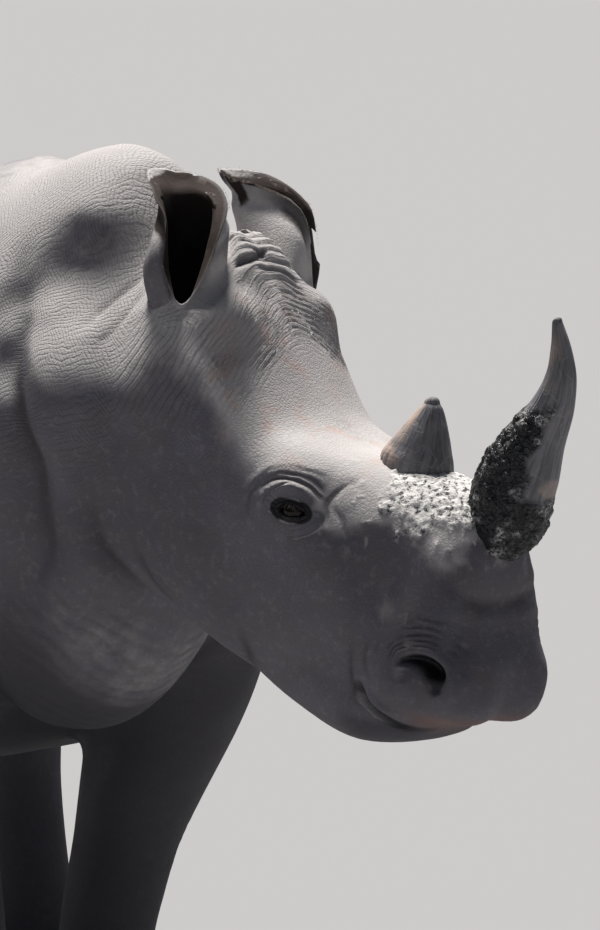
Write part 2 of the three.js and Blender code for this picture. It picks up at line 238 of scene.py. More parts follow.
def apply_modifier(ob, kind, **settings):
    """Adds a modifier to ob and applies it."""
    only(ob)
    modifier = ob.modifiers.new(kind.lower(), kind)
    for key, value in settings.items():
        setattr(modifier, key, value)
    bpy.ops.object.modifier_apply(modifier=modifier.name)
    return ob


def remesh(ob, size):
    return apply_modifier(ob, "REMESH", mode="VOXEL", voxel_size=size)


def read(items, key, width, kind=np.float32):
    """What each of a mesh's items holds under a key, as rows of width numbers."""
    flat = np.empty(len(items) * width, kind)
    items.foreach_get(key, flat)
    return flat.reshape(-1, width)


def places(ob):
    """The vertices of ob in millimetres."""
    return read(ob.data.vertices, "co", 3).astype(float) * 1000


def put(ob, points):
    """Moves the vertices of ob to points, in millimetres."""
    ob.data.vertices.foreach_set("co", (points / 1000).astype(np.float32).ravel())
    ob.data.update()


def normals(ob):
    return read(ob.data.vertex_normals, "vector", 3).astype(float)


def edges(ob):
    return read(ob.data.edges, "vertices", 2, np.int32)


def stand(ob):
    """Lifts whatever of ob is below the floor on to it."""
    points = places(ob)
    points[:, 2] = np.maximum(points[:, 2], 0)
    put(ob, points)


def relax(values, links, weight, rounds):
    """Each value drawn towards the mean of its neighbours, by weight, for some rounds."""
    a, b = links.T
    count = len(values)
    degree = np.maximum(np.bincount(a, minlength=count) + np.bincount(b, minlength=count), 1)
    values = values.copy()
    columns = values.reshape(count, -1)
    for _ in range(rounds):
        for k in range(columns.shape[1]):
            column = columns[:, k]
            mean = (np.bincount(a, column[b], count) + np.bincount(b, column[a], count)) / degree
            columns[:, k] = column + weight * (mean - column)
    return values


def ease(ob, weight, rounds):
    """Smooths ob, and gives back most of what its broad form loses by that."""
    points, links = places(ob), edges(ob)
    once = relax(points, links, weight, rounds)
    put(ob, once + relax(points - once, links, weight, rounds))


def store(ob, **fields):
    """Stores a number, or a vector, at each vertex of ob under each name."""
    for name, values in fields.items():
        kind, key = ("FLOAT", "value") if values.ndim == 1 else ("FLOAT_VECTOR", "vector")
        layer = ob.data.attributes.get(name) or ob.data.attributes.new(name, kind, "POINT")
        layer.data.foreach_set(key, values.astype(np.float32).ravel())


def refine(ob, marked, settle=3):
    """Halves the edges that meet at the vertices where marked is true, and eases the new surface."""
    only(ob)
    mesh = bmesh.new()
    mesh.from_mesh(ob.data)
    mesh.verts.ensure_lookup_table()
    chosen = {edge for index in np.nonzero(marked)[0] for edge in mesh.verts[index].link_edges}
    bmesh.ops.subdivide_edges(mesh, edges=list(chosen), cuts=1, use_grid_fill=True)
    bmesh.ops.triangulate(mesh, faces=[face for face in mesh.faces if len(face.verts) > 4])
    mesh.verts.index_update()
    mesh.to_mesh(ob.data)
    mesh.free()
    moved = np.ones(len(ob.data.vertices))
    moved[:len(marked)] = marked
    ease(ob, 0.5 * moved, settle)


def finish_piece(ob, material, replaced):
    """Gives ob smooth shading and its material, and says what it rides on, stands for and is made of."""
    ob.data.materials.clear()
    ob.data.materials.append(material)
    ob.data.polygons.foreach_set("use_smooth", np.ones(len(ob.data.polygons), bool))
    ob.data.update()
    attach(ob, "root")
    if replaced:
        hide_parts(*replaced)


# ---- Hide: the base form ----

BASE_ROUNDS = 110  # rounds of smoothing


def smoothing_reach(straight):
    """How far, in millimetres, the coarse solids are smoothed at each place: much on the body, little on the head."""
    x, y, z = straight.T
    reach = 74 - 52 * ramp(930, 1090, x)
    leg, foot = ramp(860, 620, z) * ramp(1000, 860, x), ramp(240, 120, z)
    tail = ramp(-1170, -1215, x) * ramp(95, 60, np.abs(y))
    crown = ramp(930, 1010, x) * ramp(1480, 1560, z) * ramp(1180, 1100, x)
    for share, there in ((leg, 30), (foot, 13), (tail, 9), (crown, 40)):
        reach = reach * (1 - share) + there * share
    return reach


def base_form(voxel):
    """One closed skin over all the flesh except the ears, with the flats of the solids smoothed away."""
    hide = copy_nodes("hide", FLESH)
    put(hide, places(hide) + 0.5 * normals(hide))
    remesh(hide, voxel)
    reach = smoothing_reach(straighten(places(hide)))
    ease(hide, np.clip(2 * reach ** 2 / (BASE_ROUNDS * (voxel * 1000) ** 2), 0, 0.8), BASE_ROUNDS)
    stand(hide)
    return hide


# ---- Ears ----

EAR_FOOT = from_poll(EAR_ROOT)[0]  # the root of the left ear in the straightened animal
# Sections of an ear at heights above its root, the front for the right ear (-1) and the left ear (1).
EAR_HEIGHTS = (-80, 0, 48, 95, 140, 180, 212, 236, 256)
EAR_FRONT = {-1: (34, 40, 51, 63, 71, 74, 64, 40, 6), 1: (34, 40, 51, 63, 71, 77, 77, 68, 46)}
EAR_BACK = (-34, -39, -42, -45, -46, -54, -68, -84, -94)
EAR_HALF = (34, 40, 44, 51, 54, 55, 53, 46, 32)
# The height of the ear's edge, by angle from straight ahead: towards the crown to +180, outwards to -180.
EDGE_ANGLES = (-180, -168, -152, -135, -112, -90, -70, -58, -48, -38, -28, -19, -10,
               0, 11, 23, 35, 46, 58, 70, 84, 108, 135, 160, 180)
EDGE_HEIGHTS = {
    -1: (252, 256, 257, 254, 232, 210, 190, 168, 142, 108, 78, 56, 48,
         56, 76, 104, 138, 168, 192, 210, 225, 239, 248, 252, 252),
    1: (255, 257, 257, 257, 256, 250, 234, 218, 198, 168, 128, 84, 48,
        56, 74, 102, 134, 163, 190, 209, 222, 234, 242, 250, 255),
}
HOLLOW_FLOOR, EAR_BOTTOM = -62.0, -80.0


def ear_section(height, side):
    """The middle, half depth and half width of the ear's outside at a height."""
    front, back = table(EAR_HEIGHTS, EAR_FRONT[side], height), table(EAR_HEIGHTS, EAR_BACK, height)
    return (front + back) / 2, (front - back) / 2, table(EAR_HEIGHTS, EAR_HALF, height)


def ear_edge(angle, side):
    return table(EDGE_ANGLES, EDGE_HEIGHTS[side], np.degrees(angle))


def turned(x, y, turn):
    """Places in the head's axes as forward and left in axes turned to the left by turn."""
    return x * math.cos(turn) + y * math.sin(turn), y * math.cos(turn) - x * math.sin(turn)


def ear_place(points, side):
    """Places in the ear's own axes, carried to the frame."""
    x, y = turned(points[:, 0], points[:, 1], -side * EAR_TURN)
    return bend_neck(np.stack([x + EAR_FOOT[0], y + side * EAR_FOOT[1], points[:, 2] + EAR_FOOT[2]], -1))


def ear_surface(angle, level, side, spare=0.0):
    """A place on the ear, by its angle round it and its level: -1 the bottom of the hollow, 0 the rim, 1 the root.

    spare draws the inside of the hollow in by that much.
    """
    edge = ear_edge(angle, side)
    ahead, inward, is_left = np.cos(angle), np.sin(angle), float(side > 0)
    inside = level < 0
    height = edge + (np.where(inside, HOLLOW_FLOOR, EAR_BOTTOM) - edge) * np.abs(level)
    below = edge - height
    wall = 5.0 + 5 * ramp(0, 60, below) + 5 * ramp(90, 200, below)
    round_rim = np.sqrt(np.clip(1 - (1 - np.clip(below / 6, 0, 1)) ** 2, 0, 1))
    inset = np.where(inside, wall / 2 + wall / 2 * round_rim, wall / 2 - wall / 2 * round_rim)
    inset = inset + np.where(inside, spare + 16 * ramp(0, -60, height), 0)
    middle, deep, half = ear_section(height, side)
    x, y = middle + (deep - inset) * ahead, -side * (half - inset) * inward
    # The rim turns out, and the wall swells below it.
    flare = ramp(25, 0, below) ** 1.3 * 17 - 6 * hump(28, 14, below)
    flare = flare * (1 - 0.9 * is_left * ramp(-0.1, 0.5, inward))
    belly = 14 * ramp(30, 58, below) * ramp(235, 110, below) * (1 - 0.6 * ramp(0.1, -0.4, inward))
    belly = belly * ramp(0.9, 0.2, ahead)
    belly = belly * (1 + 0.7 * is_left * ramp(0, 0.8, inward))
    lean = ramp(190, 256, height)
    outer = ramp(0.1, -0.7, inward)
    out = flare * (1 - 0.65 * outer * ramp(110, 150, height)) + belly
    narrow = outer * table((0, 110, 150, 190, 222, 257), (0, 0, 0.22, 0.36, 0.2, -0.22), height)
    x = x + (out * ahead * (1 - lean) - 6 * lean)
    y = y * (1 - narrow) - side * out * inward * (1 - 0.4 * lean)
    y = y + side * 15 * outer * ramp(225, 257, height)
    # The left ear's inner wall tucks in towards its edge, a lobe that faces the sky.
    y = y * (1 - 0.78 * is_left * ramp(0.05, 0.85, inward) * ramp(80, 235, height))
    return np.stack([x, y, height], -1)


def ball(name, around, down):
    """A round primitive, and the angle round it and the latitude, -1 to 1, of each of its corners."""
    bpy.ops.object.select_all(action="DESELECT")
    bpy.ops.mesh.primitive_uv_sphere_add(segments=around, ring_count=down, radius=1)
    ob = bpy.context.object
    ob.name = name
    ob.data.uv_layers.remove(ob.data.uv_layers[0])
    unit = places(ob) / 1000
    return ob, np.arctan2(unit[:, 1], unit[:, 0]), np.arcsin(np.clip(unit[:, 2], -1, 1)) / (math.pi / 2)


def face_out(ob):
    return in_edit_mode(ob, (bpy.ops.mesh.normals_make_consistent, {"inside": False}))


def ear_form(side, around=84, down=60):
    """A pinna: a tube that opens to its front in a deep notch, with a thin, outturned edge and a deep hollow."""
    ear, angle, latitude = ball("ear_form", around, down)
    spacing = np.sign(latitude) * np.abs(latitude) ** 1.15
    point = ear_surface(angle, np.clip(-spacing, -0.98, 0.98), side)
    pole = np.abs(latitude) > 1 - 0.5 / down
    point[pole] = [[0, 0, HOLLOW_FLOOR - 2 if z > 0 else EAR_BOTTOM - 4] for z in latitude[pole]]
    put(ear, ear_place(point, side))
    return face_out(ear)


def ear_hollow(side, around=72, down=56):
    """The space inside a pinna and in front of its notch, to clear them of the head's own flesh."""
    hollow, angle, latitude = ball("ear_hollow", around, down)
    rise = np.clip((latitude + 0.2) / 0.65, 0, 1)
    point = ear_surface(angle, -np.clip((-0.2 - latitude) / 0.8, 0.06 - 0.04 * rise, 0.97), side, spare=0.6)
    spout = 46 * rise * ramp(58, 26, np.abs(np.degrees(angle) + 10))
    point += np.stack([spout * np.cos(angle), -side * spout * np.sin(angle),
                       rise * np.maximum(142 - ear_edge(angle, side), 0)], -1)
    close = np.clip((latitude - 0.45) / 0.55, 0, 1)[:, None]
    point = point * (1 - close) + np.array((42, 0, 142)) * close
    point[latitude < -1 + 0.5 / down] = [0, 0, HOLLOW_FLOOR]
    put(hollow, ear_place(point, side))
    return face_out(hollow)


def add_ears(hide):
    """Joins both ears into the hide and clears their hollows."""
    for side in SIDES.values():
        for form, operation in ((ear_form(side), "UNION"), (ear_hollow(side), "DIFFERENCE")):
            before = len(hide.data.vertices)
            apply_modifier(hide, "BOOLEAN", operation=operation, solver="MANIFOLD", object=form)
            if len(hide.data.vertices) == before:
                raise RuntimeError(f"{form.name} did not join the hide")
            bpy.data.objects.remove(form)
    mesh = bpy.ops.mesh
    in_edit_mode(hide, (mesh.dissolve_degenerate, {"threshold": 2e-5}), (mesh.select_all, {"action": "DESELECT"}),
                 (mesh.select_mode, {"type": "FACE"}), (mesh.select_face_by_sides, {"number": 4, "type": "GREATER"}),
                 (mesh.quads_convert_to_tris, {}))


# ---- Hide: folds, lids, nostrils and mouth ----

# Folds in the side view of the straightened animal: [x, z] places, half width, depth, and the swelling beside it.
BODY_FOLDS = (
    (((915, 1500), (940, 1410), (968, 1320), (985, 1230), (980, 1120), (945, 1010)), 20, 15, 6),
    (((800, 1590), (782, 1450), (790, 1300), (815, 1150), (835, 1010)), 26, 9, 4),
    (((1050, 1190), (1066, 1120), (1085, 1062), (1110, 1020)), 12, 7, 3),
    (((348, 1520), (312, 1370), (292, 1210), (300, 1060)), 38, 9, 3),
    (((262, 990), (318, 902), (392, 838), (476, 800)), 20, 14, 6),
    (((800, 950), (762, 872), (716, 800)), 20, 12, 5),
    (((-470, 1090), (-500, 960), (-548, 830), (-602, 720)), 26, 16, 7),
    (((-560, 1430), (-530, 1290), (-488, 1140)), 42, 7, 2),
    (((-1010, 1330), (-1040, 1200), (-1030, 1050), (-1000, 930)), 26, 7, 3),
    (((-700, 900), (-760, 820), (-850, 760)), 22, 6, 3),
)
# Finer creases on the neck, fanning down and back from the root of each ear.
EAR_ROOT_CREASES = (
    ((1080, 1575), (1052, 1520), (1022, 1462)),
    ((1096, 1545), (1078, 1490), (1062, 1440)),
)
# Creases in the side view of the head: [forward, up] places, half width, depth.
HEAD_CREASES = (
    (((352, -300), (330, -322), (322, -345), (330, -372)), 4, 2.5),
    (((330, -345), (352, -366), (366, -392)), 4, 1.6),
    (((216, -318), (204, -342), (206, -372)), 4, 2.0),
    (((404, -648), (384, -616), (378, -580), (388, -548)), 9, 4.0),
    (((426, -600), (414, -570), (420, -540)), 7, 2.2),
    (((140, -640), (170, -600), (182, -560)), 12, 3.0),
    (((-30, -450), (-8, -520), (40, -580)), 16, 4.0),
)


# Hollows and swellings of muscle and bone: the middle (with its distance to either side), the reach and the height.
BODY_FORMS = (
    ((940, 158, 1530), 130, -18), ((1010, 150, 1562), 120, -22), ((1040, 200, 1350), 160, 34),
    ((850, 290, 1420), 160, -9), ((540, 330, 1460), 200, 10), ((470, 400, 1150), 190, 10),
    ((-800, 330, 1500), 170, 12), ((-1000, 340, 1360), 160, 9), ((-640, 430, 1250), 160, -9),
    ((-560, 500, 1010), 150, -8), ((620, 300, 1080), 110, 8),
)
HEAD_FORMS = (
    ((250, 132, -290), 80, 7), ((330, 140, -330), 60, -4), ((150, 170, -250), 110, 5), ((60, 178, -200), 110, 5),
    ((430, 118, -430), 90, -9), ((330, 152, -470), 120, 6), ((210, 178, -540), 120, 7), ((480, 120, -520), 70, 5),
    ((570, 80, -590), 70, 7), ((600, 30, -590), 60, 5), ((340, 40, -240), 60, 3), ((200, 0, -190), 80, 3),
    ((0, 30, 10), 110, 26), ((66, 108, -85), 80, 20), ((602, 56, -640), 72, 16), ((585, 60, -505), 50, 6),
    ((600, 0, -355), 70, 8),
)


def skin_state(hide):
    """The hide's vertices in the frame, the straightened animal and the head, and its normals."""
    points = places(hide)
    straight = straighten(points)
    return points, straight, to_head(straight), normals(hide)


def broad_forms(straight, head):
    """Hollows and swellings of muscle and bone, in millimetres along the normal."""
    x, y, z = straight.T
    forward, left, up = head.T
    span = np.abs(y)
    push = np.zeros(len(x))
    drift = 14 * noise(straight / 75, 9)
    on_body, on_head = (x, span, z), (forward, np.abs(left), up)
    for forms, here, wander in ((BODY_FORMS, on_body, drift), (HEAD_FORMS, on_head, 0)):
        for middle, reach, by in forms:
            apart = (place - centre for place, centre in zip(here, middle))
            push += by * ramp(reach, 0, np.sqrt(sum(each ** 2 for each in apart)) + wander)
    ribs = ramp(-480, -330, x) * ramp(330, 180, x) * ramp(820, 950, z) * ramp(1420, 1280, z) * ramp(250, 380, span)
    push += 2.2 * ribs * np.cos((x + 0.22 * z) / 78 * 2 * math.pi)
    return push + 5 * (ramp(30, 0, span) * ramp(1450, 1560, z) * ramp(700, 500, x))


def line_through(side_view, path, ends=0.02, power=0.5):
    """Distance from a smooth line in a side view, and a share of 1 that fades out towards both its ends."""
    distance, along = path_distance(side_view, smooth_path(path))
    return distance, np.sin(np.pi * np.clip(along, ends, 1 - ends)) ** power


def gauss(distance, width):
    """1 at no distance, falling off in a bell curve."""
    return np.exp(-(distance / width) ** 2)


def body_folds(straight, normal):
    """The grooves of the big folds, as a push and a depth from 0 to 1."""
    side = straight[:, [0, 2]]
    flank = ramp(0.1, 0.45, np.abs(normal[:, 1])) * ramp(1120, 1060, straight[:, 0])
    wander = np.stack([noise(straight / 70, 3), noise(straight / 70, 4)], -1) * 9
    push, groove = np.zeros(len(side)), np.zeros(len(side))
    for path, width, depth, lip in BODY_FOLDS:
        distance, fade = line_through(side + wander, path, power=0.6)
        fade = fade * flank
        push += fade * (-depth * gauss(distance, width) + lip * gauss(distance - 2.4 * width, 1.3 * width))
        groove = np.maximum(groove, fade * gauss(distance, 0.5 * width))
    for path in EAR_ROOT_CREASES:
        distance, fade = line_through(side + wander * 0.3, path)
        fade = fade * ramp(60, 100, np.abs(straight[:, 1]))
        push -= 2.6 * fade * gauss(distance, 6)
        groove = np.maximum(groove, 0.5 * fade * gauss(distance, 4))
    return push, groove


def head_creases(head):
    """The creases of the cheeks, eyes and lips, as a push and a depth from 0 to 1."""
    side = head[:, [0, 2]]
    wander = np.stack([noise(head / 30, 5), noise(head / 30, 6)], -1) * 3
    push, groove = np.zeros(len(side)), np.zeros(len(side))
    cheek = ramp(50, 90, np.abs(head[:, 1]))
    for path, width, depth in HEAD_CREASES:
        distance, fade = line_through(side + wander, path, ends=0.03)
        fade = fade * cheek
        push -= depth * fade * gauss(distance, width)
        groove = np.maximum(groove, fade * gauss(distance, 0.7 * width) * min(1, depth / 3))
    return push, groove


def wrinkles(phase, sharp=0.22):
    """Rounded ridges with narrow valleys between them: 0 on the ridges, 1 in the valleys, one to a unit of phase."""
    t = np.abs(phase - np.round(phase)) * 2
    return ramp(sharp * 2.2, 0, t)


def brow_fields(head):
    """The cross folds of the crown and forehead: their phase, one fold to a unit, and where they lie."""
    forward, left, up = head.T
    down = (forward - up) / 1.25
    drift = rough(head / 60, 11) * 7 + rough(head / 22, 12, 2) * 2.4
    crown = ramp(-95, -60, forward) * ramp(100, 55, down) * ramp(150, 115, np.abs(left)) * ramp(-120, -60, up)
    arch = down - 60 * (np.abs(left - 8) / 112) ** 1.6 * ramp(20, 130, down)
    front = ramp(20, 70, down) * ramp(235, 165, arch) * ramp(-260, -190, up) * ramp(182, 150, np.abs(left))
    temple = ramp(-90, -40, forward) * ramp(130, 60, forward) * ramp(90, 130, np.abs(left))
    temple *= ramp(-280, -200, up) * ramp(-60, -120, up)
    phase = (arch + drift) / 12.5
    side_phase = (forward * 0.8 - up * 0.35 + drift) / 11
    return phase, side_phase, crown, np.clip(front + 0.7 * crown, 0, 1), temple


def brow_wrinkles(head):
    """The cross folds that are deep enough to shape the crown."""
    phase, _, crown, front, _ = brow_fields(head)
    breaks = 0.55 + 0.45 * noise(head / np.array((36, 26, 36)), 13)
    big = wrinkles(phase * 0.62, 0.34) * crown
    fine = wrinkles(phase, 0.4) * front * (1 - 0.7 * crown)
    slot, _ = path_distance(head, [(28, -96, 2), (50, -64, 0), (52, -30, 6), (46, 0, 12)])
    deep = gauss(slot, 8)
    push = -5.0 * big * breaks - 2.9 * fine * breaks - 9 * deep
    return push, np.clip(0.8 * big * breaks + 0.6 * fine * breaks + deep, 0, 1)


def limb_wrinkles(straight):
    """Rings at the knees, hocks and above the feet, and under the neck."""
    x, _, z = straight.T
    drift = rough(straight / 60, 21) * 12
    fore, hind = ramp(380, 420, x) * ramp(960, 900, x), ramp(-400, -440, x)
    rings = fore * (hump(505, 130, z) + hump(200, 95, z)) + hind * (hump(560, 130, z) + hump(205, 90, z))
    rings = np.clip(rings, 0, 1) * ramp(800, 700, z)
    patch = 0.5 + 0.5 * noise(straight / 45, 22)
    cut = wrinkles((z + drift) / 17) * rings * patch
    throat = ramp(700, 800, x) * ramp(1110, 1040, x) * ramp(1080, 980, z) * ramp(0, 40, 1200 - z)
    loose = wrinkles((x * 0.75 + (z - 950) * 0.5 + drift) / 26, 0.3) * throat * patch
    return -2.2 * cut - 3.2 * loose, np.clip(0.6 * cut + 0.6 * loose, 0, 1)


def on_part(chosen, count, function, *fields):
    """The push and groove of one kind of fold, worked out only where chosen is true."""
    push, groove = np.zeros(count), np.zeros(count)
    push[chosen], groove[chosen] = function(*(field[chosen] for field in fields))
    return push, groove


def apply_forms(hide):
    """Pushes the broad forms and the folds into the hide, and returns how deep in a fold each place is."""
    points, straight, head, normal = skin_state(hide)
    skin = 1 - ear_share(head)
    put(hide, points + (broad_forms(straight, head) * skin)[:, None] * normal)
    points, straight, head, normal = skin_state(hide)
    count = len(points)
    on_body, on_head = straight[:, 0] < 1130, straight[:, 0] > 1000
    push, groove = np.zeros(count), np.zeros(count)
    for part, depth in (
        on_part(on_body, count, body_folds, straight, normal),
        on_part(on_head, count, head_creases, head),
        on_part(on_head, count, brow_wrinkles, head),
        on_part(straight[:, 2] < 1120, count, limb_wrinkles, straight),
    ):
        push += part
        groove = np.maximum(groove, depth)
    put(hide, points + (push * skin)[:, None] * normal)
    return groove * skin


def ear_axes(head, side):
    """Places in the head as forward, left and up in an ear's own axes, from its root."""
    x, y, z = (head - EAR_ROOT * (1, side, 1)).T
    return *turned(x, y, side * EAR_TURN), z


def ear_share(head):
    """1 on the pinnae, 0 on the head, from each place's height above the root of the ear."""
    share = np.zeros(len(head))
    for side in SIDES.values():
        along, across, height = ear_axes(head, side)
        close = ramp(1.55, 1.3, np.hypot((along + 5) / 62, across / 50))
        share = np.maximum(share, close * ramp(30, 75, height))
    return share


def frame_at(side, direction):
    """Axes at an eye or nostril in the head: forward along it, up across it, and out of it."""
    out = np.array(direction, float) * (1, side, 1)
    out /= np.linalg.norm(out)
    forward = np.array((1.0, 0, 0)) - out[0] * out
    forward /= np.linalg.norm(forward)
    up = np.array((0, 0, 1.0)) - out[2] * out - forward[2] * forward
    return forward, up / np.linalg.norm(up), out


EYE_OUT = (0.22, 0.955, 0.2)
EYE_BALL = 19.0
LID_RADIUS = 22.8
EYE_SLIT = 23.0  # half the length of the opening


def lid_edges(along):
    """The heights of the upper and lower lid edges over the middle of the eyeball."""
    t = np.clip(1 - (along / EYE_SLIT) ** 2, 0, 1)
    return 8.2 * t ** 0.8 - 1 - 0.05 * along, -8.6 * t ** 0.9 - 1 - 0.05 * along


def eye_distance(along, across):
    """Distance outside (or, below 0, inside) the edge of the eye's opening."""
    stations = np.linspace(-EYE_SLIT, EYE_SLIT, 40)
    upper, lower = lid_edges(stations)
    ring = np.vstack([np.stack([stations, upper], -1), np.stack([stations, lower], -1)[::-1]])
    distance, _ = path_distance(np.stack([along, across], -1), np.vstack([ring, ring[:1]]))
    high, low = lid_edges(along)
    inside = (np.abs(along) < EYE_SLIT) & (across < high) & (across > low)
    return np.where(inside, -distance, distance)


def open_eyes(hide):
    """Shapes the lids round each eyeball; the skin inside the opening sinks behind the eyeball's surface."""
    _, _, head, _ = skin_state(hide)
    groove, wet = np.zeros(len(head)), np.zeros(len(head))
    for side in SIDES.values():
        forward, up, out = frame_at(side, EYE_OUT)
        offset = head - EYE * (1, side, 1)
        along, across, height = offset @ forward, offset @ up, offset @ out
        here = (np.linalg.norm(offset, axis=1) < 125) & (height > -15)
        a, b, c = along[here], across[here], height[here]
        s = eye_distance(a, b)
        radial = np.hypot(a, b)
        cover = np.sqrt(np.maximum(LID_RADIUS ** 2 - radial ** 2, 12.5 ** 2))
        sunk = np.maximum(np.sqrt(np.maximum(EYE_BALL ** 2 - radial ** 2, 0)) - 6, 4)
        lid = cover - 1.8 * gauss(s, 2.2)
        upper = ramp(-8, 8, b)
        blend = ramp(3, 30 + 3 * upper, s)
        behind = ramp(52, 20, a)
        rest = c + upper * behind * (6.0 * gauss(s - 24, 14) + 2.0 * gauss(s - 60, 10))
        rest += (1 - upper) * 1.2 * gauss(s - 12, 8)
        target = lid * (1 - blend) + rest * blend
        target = sunk + (target - sunk) * ramp(-1.6, 0.8, s)
        wobble = noise(head[here] / 14, 31) * 1.6 + noise(head[here] / 30, 32) * 3
        broken = ramp(-0.5, 0.5, noise(head[here] / 20, 33))
        over = upper * ramp(50, 26, a) * ramp(-64, -40, a)
        # The lids' creases: distance from the opening, width, depth, and where each lies.
        cuts = (
            (38 - 0.08 * a, 2.2, 3.8, over), (46 - 0.05 * a, 2.0, 2.4, over * ramp(-40, -10, a)),
            (36 + 0.25 * a, 2.2, 2.0, over * ramp(6, -30, a)), (58, 3.0, 1.8, over * broken),
            (8, 1.6, 1.0, upper * broken), (9, 2.0, 0.6, 1 - upper),
            (20, 2.2, 0.8, (1 - upper) * broken * ramp(-6, 10, a)), (31, 2.4, 1.2, (1 - upper) * ramp(-4, 20, a)),
        )
        # How much painted shade each lid crease lays into the colour.
        crease = np.zeros(len(a))
        for middle, width, depth, where in cuts:
            line = gauss(s + wobble - middle, width) * where
            target -= depth * line
            crease = np.maximum(crease, line * min(1, depth / 3.5))
        fan = ramp(-18, -30, a) * ramp(66, 44, radial) * ramp(-14, 0, b)
        rays = wrinkles(np.arctan2(b, -a) * 4.5 + wobble * 0.25, 0.24) * fan * broken
        target -= 1.6 * rays * ramp(0, 8, s)
        crease = np.maximum(crease, 0.5 * rays * ramp(0, 8, s))
        keep = ramp(96, 76, radial)
        change = (target - c) * keep
        shift = np.zeros_like(head)
        shift[here] = change[:, None] * out
        head = head + shift
        groove[here] = np.maximum(groove[here], crease * keep)
        # Near-black lid margins, wider in the corners: wet skin with painted shade round the opening.
        wet[here] = np.maximum(wet[here], ramp(13, 3.0, s - 4 * ramp(8, 24, np.abs(a))) * keep)
    put(hide, from_head(head))
    return groove, wet


NOSTRIL = ((499, -556), (512, -552), (528, -552), (544, -559), (556, -572), (558, -590))
NOSTRIL_HALF = (2.0, 4.0, 7.5, 11.5, 13, 6)
NOSTRIL_DEPTH = (4, 9, 19, 32, 32, 12)
NOSTRIL_ARCS = ((16, 2.2, 2.3), (24, 2.2, 2.8), (33, 2.6, 2.8), (44, 2.8, 2.2), (56, 3.2, 1.6))
MOUTH = ((396, -612), (404, -628), (418, -642), (440, -653), (468, -663), (500, -669), (534, -669))
NOSE_FURROW = ((528, 112, -428), (552, 92, -446), (566, 66, -458), (572, 34, -464), (574, 0, -466))


def open_nostrils(hide):
    """Sinks the nostrils, with their rims, the cushion behind each and the arcs above, and draws the mouth line."""
    _, _, head, _ = skin_state(hide)
    forward, left, up = head.T
    push, beside = np.zeros((len(head), 3)), np.abs(left)
    side_view = head[:, [0, 2]]
    lateral = ramp(60, 95, beside) * np.sign(left)
    distance, along = path_distance(side_view, smooth_path(NOSTRIL, 30))
    stations = np.linspace(0, 1, len(NOSTRIL_HALF))
    half, deep = table(stations, NOSTRIL_HALF, along), table(stations, NOSTRIL_DEPTH, along)
    s = distance - half
    inward = ramp(6.5, -half * 0.9, s)
    above = ramp(-0.15, 0.35, (up + 575) / 60 + (forward - 520) / 260)
    wobble = noise(head / 18, 41) * 2
    arcs = sum(depth * gauss(s + wobble - middle, width) for middle, width, depth in NOSTRIL_ARCS)
    arcs *= above * ramp(600, 570, forward) * ramp(-0.7, 0.4, noise(head / 17, 42))
    cushion = (12 * ramp(34, 0, np.hypot(forward - 508, up + 588))
               + 5 * ramp(46, 10, np.hypot(forward - 480, up + 600)))
    push[:, 1] += (-deep * inward + 3.0 * gauss(s - 11, 8) + cushion - arcs) * lateral
    push[:, 0] += -0.25 * deep * inward * np.abs(lateral)
    groove = np.clip(arcs / 3.2, 0, 1) * np.abs(lateral)
    # Near black in and round the nostril: wet skin with painted shade of the opening.
    wet = ramp(7, -4, s) * np.abs(lateral) * ramp(1.0, 0.8, along)
    distance, along = path_distance(side_view, smooth_path(MOUTH, 30))
    line = gauss(distance, 5 + 3 * ramp(0.4, 0, along)) * ramp(30, 60, beside) * ramp(1.0, 0.9, along)
    lip = gauss(distance - 13, 8) * ramp(-0.5, 0.5, (up + 648) / 12) * ramp(60, 90, beside)
    push[:, 1] -= 13 * line * np.sign(left)
    push[:, 1] += 4.5 * lip * np.sign(left)
    groove = np.maximum(groove, line)
    distance, along = path_distance(np.stack([forward, beside, up], -1), smooth_path(NOSE_FURROW, 16))
    under = gauss(distance, 9) * ramp(0, 0.3, along)
    ledge = gauss(distance - 24, 12) * ramp(-466, -480, up) * ramp(0.1, 0.4, along)
    push[:, 0] += 3 * ledge - 7 * under
    put(hide, from_head(head + push))
    return np.maximum(groove, 0.5 * under), wet


def thin_out(ob, share, triangles, total=False):
    """Merges triangles, most where the skin is plain, until those within share, or all, number triangles."""
    corners = np.empty(len(ob.data.loops), np.int32)
    ob.data.loops.foreach_get("vertex_index", corners)
    inside = int((share[corners.reshape(-1, 3)].min(axis=1) > 0.5).sum())
    count = len(ob.data.polygons)
    goal = triangles if total else count - max(0, inside - triangles)
    if goal >= count:
        return
    group = ob.vertex_groups.new(name="plain")
    for step in range(1, 11):
        chosen = np.nonzero(np.round(share * 10) == step)[0].tolist()
        if chosen:
            group.add(chosen, step / 10, "REPLACE")
    apply_modifier(ob, "DECIMATE", ratio=goal / count, vertex_group="plain", vertex_group_factor=1.0)
    ob.vertex_groups.clear()


def blend_ear_roots(hide):
    """Smooths the hide where each ear rises from the head, but for the front, where its notch is."""
    points, _, head, _ = skin_state(hide)
    weight = np.zeros(len(points))
    for side in SIDES.values():
        along, across, height = ear_axes(head, side)
        radial = np.hypot((along + 5) / 62, across / 50)
        from_notch = np.abs(np.degrees(np.arctan2(-side * across, along)) + 10)
        root = ramp(2.4, 1.7, radial) * ramp(0.6, 0.85, radial) * ramp(56, 20, height) * ramp(-160, -120, height)
        weight = np.maximum(weight, root * ramp(35, 62, from_notch))
    put(hide, relax(points, edges(hide), weight * 0.6, 16))


EYE_MIDDLE = (274, 155, -358)


def near(head, middle, reach):
    """True within reach of a place in the head, on either side."""
    forward, left, up = middle
    return np.sqrt((head[:, 0] - forward) ** 2 + (np.abs(head[:, 1]) - left) ** 2 + (head[:, 2] - up) ** 2) < reach


